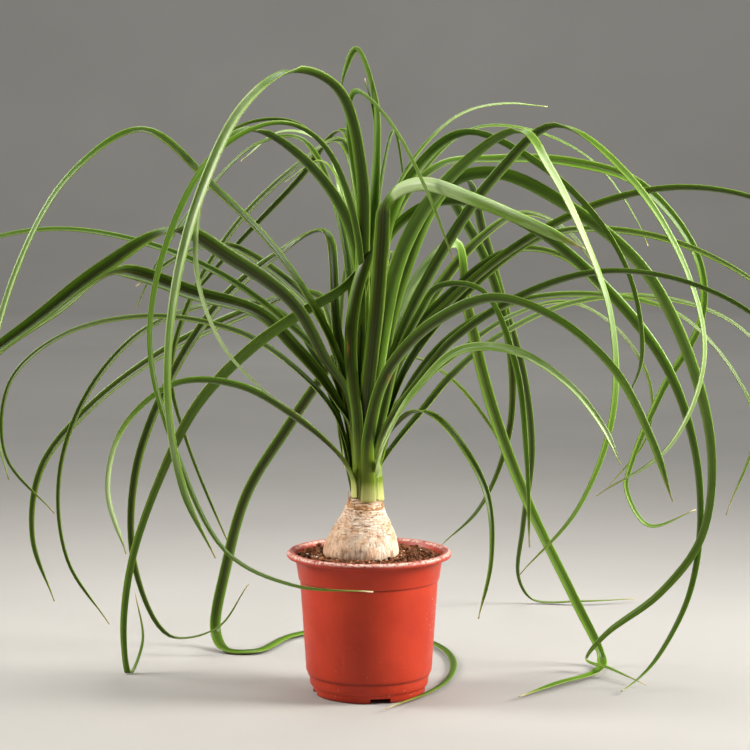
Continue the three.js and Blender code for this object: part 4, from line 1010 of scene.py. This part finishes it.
def route_of(leaf):
    across, forward = math.cos(leaf["azimuth"]), math.sin(leaf["azimuth"])

    def on_sheath(radius, height):
        return Vector((CROWN_AXIS[0] + radius * across, CROWN_AXIS[1] + radius * forward, height))

    outer = leaf["radius"] / SHEAF_RADIUS
    slant = SHEATH_SLANT * math.cos(leaf["azimuth"] - math.radians(SHEATH_SLANT_AZIMUTH_DEG))
    foot = GROWING_TIP - (SHEATH_DROP + slant) * outer**2
    on_bark = caudex_radius(foot) + ON_BARK_GAP
    foot_radius = leaf["radius"] + (on_bark - leaf["radius"]) * smooth((outer - ON_BARK_FROM) / ON_BARK_OVER)
    return [on_sheath(foot_radius, foot), on_sheath(leaf["radius"], SHEATH_TOP), *leaf["points"]]


# Blades

def width_at(leaf, along, distance):
    outer = smooth(leaf["radius"] / SHEAF_RADIUS * SHEATH_WIDENING)
    sheath = INNER_SHEATH_WIDTH + (SHEATH_WIDTH - INNER_SHEATH_WIDTH) * outer
    blade = sheath + (leaf["width"] - sheath) * smooth(distance / FULL_WIDTH_AFTER)
    narrowing = max(0, (along - NARROWS_FROM) / (1 - NARROWS_FROM)) ** NARROWING_CURVE
    tip = 1 - TIP_TAPER * smooth((along - TIP_FROM) / (1 - TIP_FROM))
    return max(LEAST_WIDTH, blade * (1 - (1 - leaf["tip_share"]) * narrowing) * tip)


def shown_at(leaf, along):
    near, halfway, far = leaf["shown"]
    start, middle, end = SHOWN_AT
    if along < middle:
        return near + (halfway - near) * span(along, start, middle)
    return halfway + (far - halfway) * span(along, middle, end)


def fold_at(leaf, lengths, i):
    """The fold that a place on the blade lies in: the share seen there, and how much of a fold it is."""
    share, hold = 1, 0
    for point, fold_share in leaf["folds"]:
        distance = abs(lengths[i] - lengths[(point + SHEATH_POINTS) * STEPS_PER_SPAN])
        nearness = smooth(1 - distance / FOLD_REACH)
        if nearness > hold:
            share, hold = fold_share, nearness
    return share, hold


def rolled(side, tangent, centre, shown, hold):
    """Roll a blade about its own length until the viewer sees the stated share of its width.

    It rolls the shorter way, and of two equal ways the one that shows its upper face."""
    sight = (centre - Vector((EYE_X, -EYE_DISTANCE, EYE_Z))).normalized()
    flat = tangent.cross(sight)
    grip = hold * flat.length
    flat.normalize()
    deep = flat.cross(tangent)
    choices = []
    for face in (1, -1):
        for lean in (1, -1):
            choice = flat * (face * shown) + deep * (lean * math.sqrt(1 - shown * shown))
            choices.append((choice.dot(side) + face * UPPER_FACE_LEAD, choice))
    return side.lerp(max(choices, key=lambda entry: entry[0])[1], grip).normalized()


def level_side(side, tangent, height):
    """Near the surface a blade turns flat, so that it lies on its back and not on its edge."""
    level = Vector((0, 0, 1)).cross(tangent)
    if level.dot(side) < 0:
        level.negate()
    side = side.lerp(level, span(LEVEL_BELOW - height, 0, LEVEL_BELOW) * level.length)
    return (side - tangent * side.dot(tangent)).normalized()


def blade_stations(leaf):
    """Along the leaf, in millimetres: centre, sideways, upwards, width, share of the length and distance."""
    centres = curve_through(route_of(leaf), STEPS_PER_SPAN)
    lengths = [0.0]
    for before, after in zip(centres, centres[1:]):
        lengths.append(lengths[-1] + (after - before).length)
    side = Vector((-math.sin(leaf["azimuth"]), math.cos(leaf["azimuth"]), 0))
    phase = random.Random(leaf["name"]).uniform(0, 6)
    stations = []
    for i, centre in enumerate(centres):
        tangent = (centres[min(i + 1, len(centres) - 1)] - centres[max(i - 1, 0)]).normalized()
        side = (side - tangent * side.dot(tangent)).normalized()
        along = lengths[i] / lengths[-1]
        step = lengths[i] - lengths[max(0, i - 1)]
        started = smooth((along - ROLL_FROM) / (ROLL_FREE - ROLL_FROM))
        free = started * span(centre.z / LEVEL_BELOW - 0.5, 0, 1)
        fold_share, hold = fold_at(leaf, lengths, i)
        shown = shown_at(leaf, along) * (1 - hold) + fold_share * hold
        roll_length = ROLL_LENGTH * (1 - hold) + FOLD_ROLL_LENGTH * hold
        side = rolled(side, tangent, centre, shown, free * (1 - math.exp(-step / roll_length)))
        side = level_side(side, tangent, centre.z)
        sway = SWAY * math.sin(phase + lengths[i] / SWAY_LENGTH) * smooth(along * 3) * free
        across = Matrix.Rotation(sway, 3, tangent) @ side
        width = width_at(leaf, along, lengths[i])
        stations.append((centre, across, tangent.cross(across), width, along, lengths[i]))
    return stations


def painted_light_at(leaf, along, fold):
    """The painted light and shade of a place on the blade. A blade that folds over shows its other face from
    there on, and its painted light changes there.
    """
    near, halfway, far = leaf["tones"]
    start, middle, end = PAINTED_LIGHT_AT
    if fold is not None:
        start, middle = fold - 0.01, fold + 0.05
    if along < middle:
        return near + (halfway - near) * smooth(span(along, start, middle))
    return halfway + (far - halfway) * smooth(span(along, middle, end))


def wrapped_point(centre, sideways, width):
    """The same place on a sheath wrapped round the sheaf, with one margin tucked under its neighbour."""
    outward = Vector((centre.x - CROWN_AXIS[0], centre.y - CROWN_AXIS[1]))
    radius = outward.length
    angle = math.atan2(outward.y, outward.x) + sideways * width / 2 / max(radius, INNER_SHEATH_WIDTH / 2)
    radius += SHEATH_TUCK * sideways
    x, y = CROWN_AXIS
    return Vector((x + radius * math.cos(angle), y + radius * math.sin(angle), centre.z))


def add_blade(bm, layers, leaf):
    """One strap: a grid strip laid along its route, wrapped at its foot and bent into a channel beyond it."""
    stations = blade_stations(leaf)
    rows = len(stations) - 1
    strip = bmesh.ops.create_grid(bm, x_segments=COLUMNS, y_segments=rows, size=1, calc_uvs=True)
    dry = random.Random(leaf["name"] + "_tip").uniform(0.3, 1)
    folded = [stations[(point + SHEATH_POINTS) * STEPS_PER_SPAN][4] for point, _ in leaf["folds"]]
    fold = folded[0] if folded else None
    for vert in strip["verts"]:
        sideways = vert.co.x
        row = round((vert.co.y + 1) / 2 * rows)
        centre, across, up, width, along, distance = stations[row]
        channel = width * CHANNEL_SHARE * (abs(sideways) ** CHANNEL_CURVE - CHANNEL_LIFT)
        point = centre + across * (sideways * width / 2) + up * channel
        wrap = 1 - smooth((distance - SHEATH_LENGTH) / (SHEATH_OPENS - SHEATH_LENGTH))
        point = point.lerp(wrapped_point(centre, sideways, width), wrap)
        if row == 0:
            point.z += FOOT_CURVE * sideways**2
        # Painted light and shade along the blade
        vert[layers["painted_light"]] = painted_light_at(leaf, along, fold)
        vert[layers["dry"]] = dry
        vert[layers["crown"]] = 1 - smooth(distance / CROWN_GLOW)
        vert.co = point * MM
        vert.co.z = max(vert.co.z, BLADE_THICKNESS * MM)


def add_core(bm, layers):
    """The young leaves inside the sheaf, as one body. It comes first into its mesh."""
    add_turned(bm, CORE_PROFILE, CORE_STEPS)
    chart = bm.loops.layers.uv["blade"]
    for face in bm.faces:
        for loop in face.loops:
            loop[chart].uv = CORE_CHART
    for vert in bm.verts:
        # Painted light and shade of the core
        vert[layers["painted_light"]] = CORE_PAINTED_LIGHT
        vert[layers["crown"]] = 1 - smooth((vert.co.z / MM - CORE_GLOW_FROM) / CORE_GLOW)
        vert.co.x += CROWN_AXIS[0] * MM


def make_leaves(name, leaves, nodes, material):
    bm = bmesh.new()
    bm.loops.layers.uv.new("blade")
    layers = {key: bm.verts.layers.float.new(key) for key in ("painted_light", "dry", "crown")}
    if "leaf_head" in nodes:
        add_core(bm, layers)
    for leaf in leaves:
        add_blade(bm, layers, leaf)
    bmesh.ops.recalc_face_normals(bm, faces=bm.faces)
    piece = piece_from(name, bm, material)
    body = piece.modifiers.new("body", "SOLIDIFY")
    body.thickness = BLADE_THICKNESS * MM
    body.offset = 0
    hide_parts(*nodes)
    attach(piece, "root")


def node_of(name):
    """The solid that holds a leaf: its own, one shared with a neighbour, or the head in the middle."""
    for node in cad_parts:
        if name in node.removeprefix("leaf_").split("_and_"):
            return node
    return "leaf_head"


def make_foliage():
    material = leaf_blade()
    leaves = [read_leaf(*leaf) for leaf in LEAVES]
    place_sheaths(leaves)
    bunches = {}
    for leaf in leaves:
        node = node_of(leaf["name"])
        bunch = "head" if node == "leaf_head" else node.split("_")[1]
        bunches.setdefault(bunch, ([], set()))
        bunches[bunch][0].append(leaf)
        bunches[bunch][1].add(node)
    for bunch, (members, nodes) in sorted(bunches.items()):
        make_leaves(f"leaves_{bunch}", members, sorted(nodes), material)


# Studio

def make_camera():
    data = bpy.data.cameras.new("front_view")
    data.sensor_width = SENSOR_WIDTH
    data.lens = CAMERA_LENS
    data.clip_end = VIEW_LIMIT
    camera = bpy.data.objects.new("front_view", data)
    camera.location = CAMERA_PLACE
    camera.rotation_euler = (math.radians(90 - CAMERA_PITCH_DEG), 0, 0)
    bpy.context.scene.collection.objects.link(camera)
    bpy.context.scene.camera = camera


def add_softbox(name, place, aim, size, power, tint, spread_deg):
    data = bpy.data.lights.new(name, "AREA")
    data.shape = "SQUARE"
    data.size = size
    data.energy = power
    data.color = tint
    data.spread = math.radians(spread_deg)
    light = bpy.data.objects.new(name, data)
    light.location = place
    light.rotation_euler = (Vector(aim) - Vector(place)).to_track_quat("-Z", "Y").to_euler()
    bpy.context.scene.collection.objects.link(light)


def make_bowl():
    """A pale floor that rises into a wall all round, so that it has no horizon."""
    outline = [(0, 0), (0, FLOOR_RADIUS)]
    for i in range(1, BEND_STEPS + 1):
        angle = i / BEND_STEPS * math.pi / 2
        outline.append((FLOOR_BEND * (1 - math.cos(angle)), FLOOR_RADIUS + FLOOR_BEND * math.sin(angle)))
    outline.append((WALL_HEIGHT, FLOOR_RADIUS + FLOOR_BEND))
    bm = bmesh.new()
    add_turned(bm, [(height - FLOOR_GAP, radius) for height, radius in outline], FLOOR_STEPS, 1)
    bmesh.ops.recalc_face_normals(bm, faces=bm.faces)
    n = Nodes("pale_paper")
    n.ramp(n.noise(n.place, 3, 2), (0.3, 162, 159, 154), (0.7, 168, 165, 160))
    piece_from("studio_floor", bm, n.finish(0.8, 0.2))


def make_studio():
    make_bowl()
    world = bpy.data.worlds.new("studio_air")
    world.use_nodes = True
    air = world.node_tree.nodes["Background"]
    air.inputs["Color"].default_value = linear(*AIR_COLOUR)
    air.inputs["Strength"].default_value = AIR_STRENGTH
    bpy.context.scene.world = world
    bpy.context.scene.view_settings.view_transform = "Standard"
    for name, settings in LIGHTS.items():
        add_softbox(name, *settings)


make_camera()
make_studio()
make_pot()
make_soil()
make_caudex()
make_scales()
make_foliage()
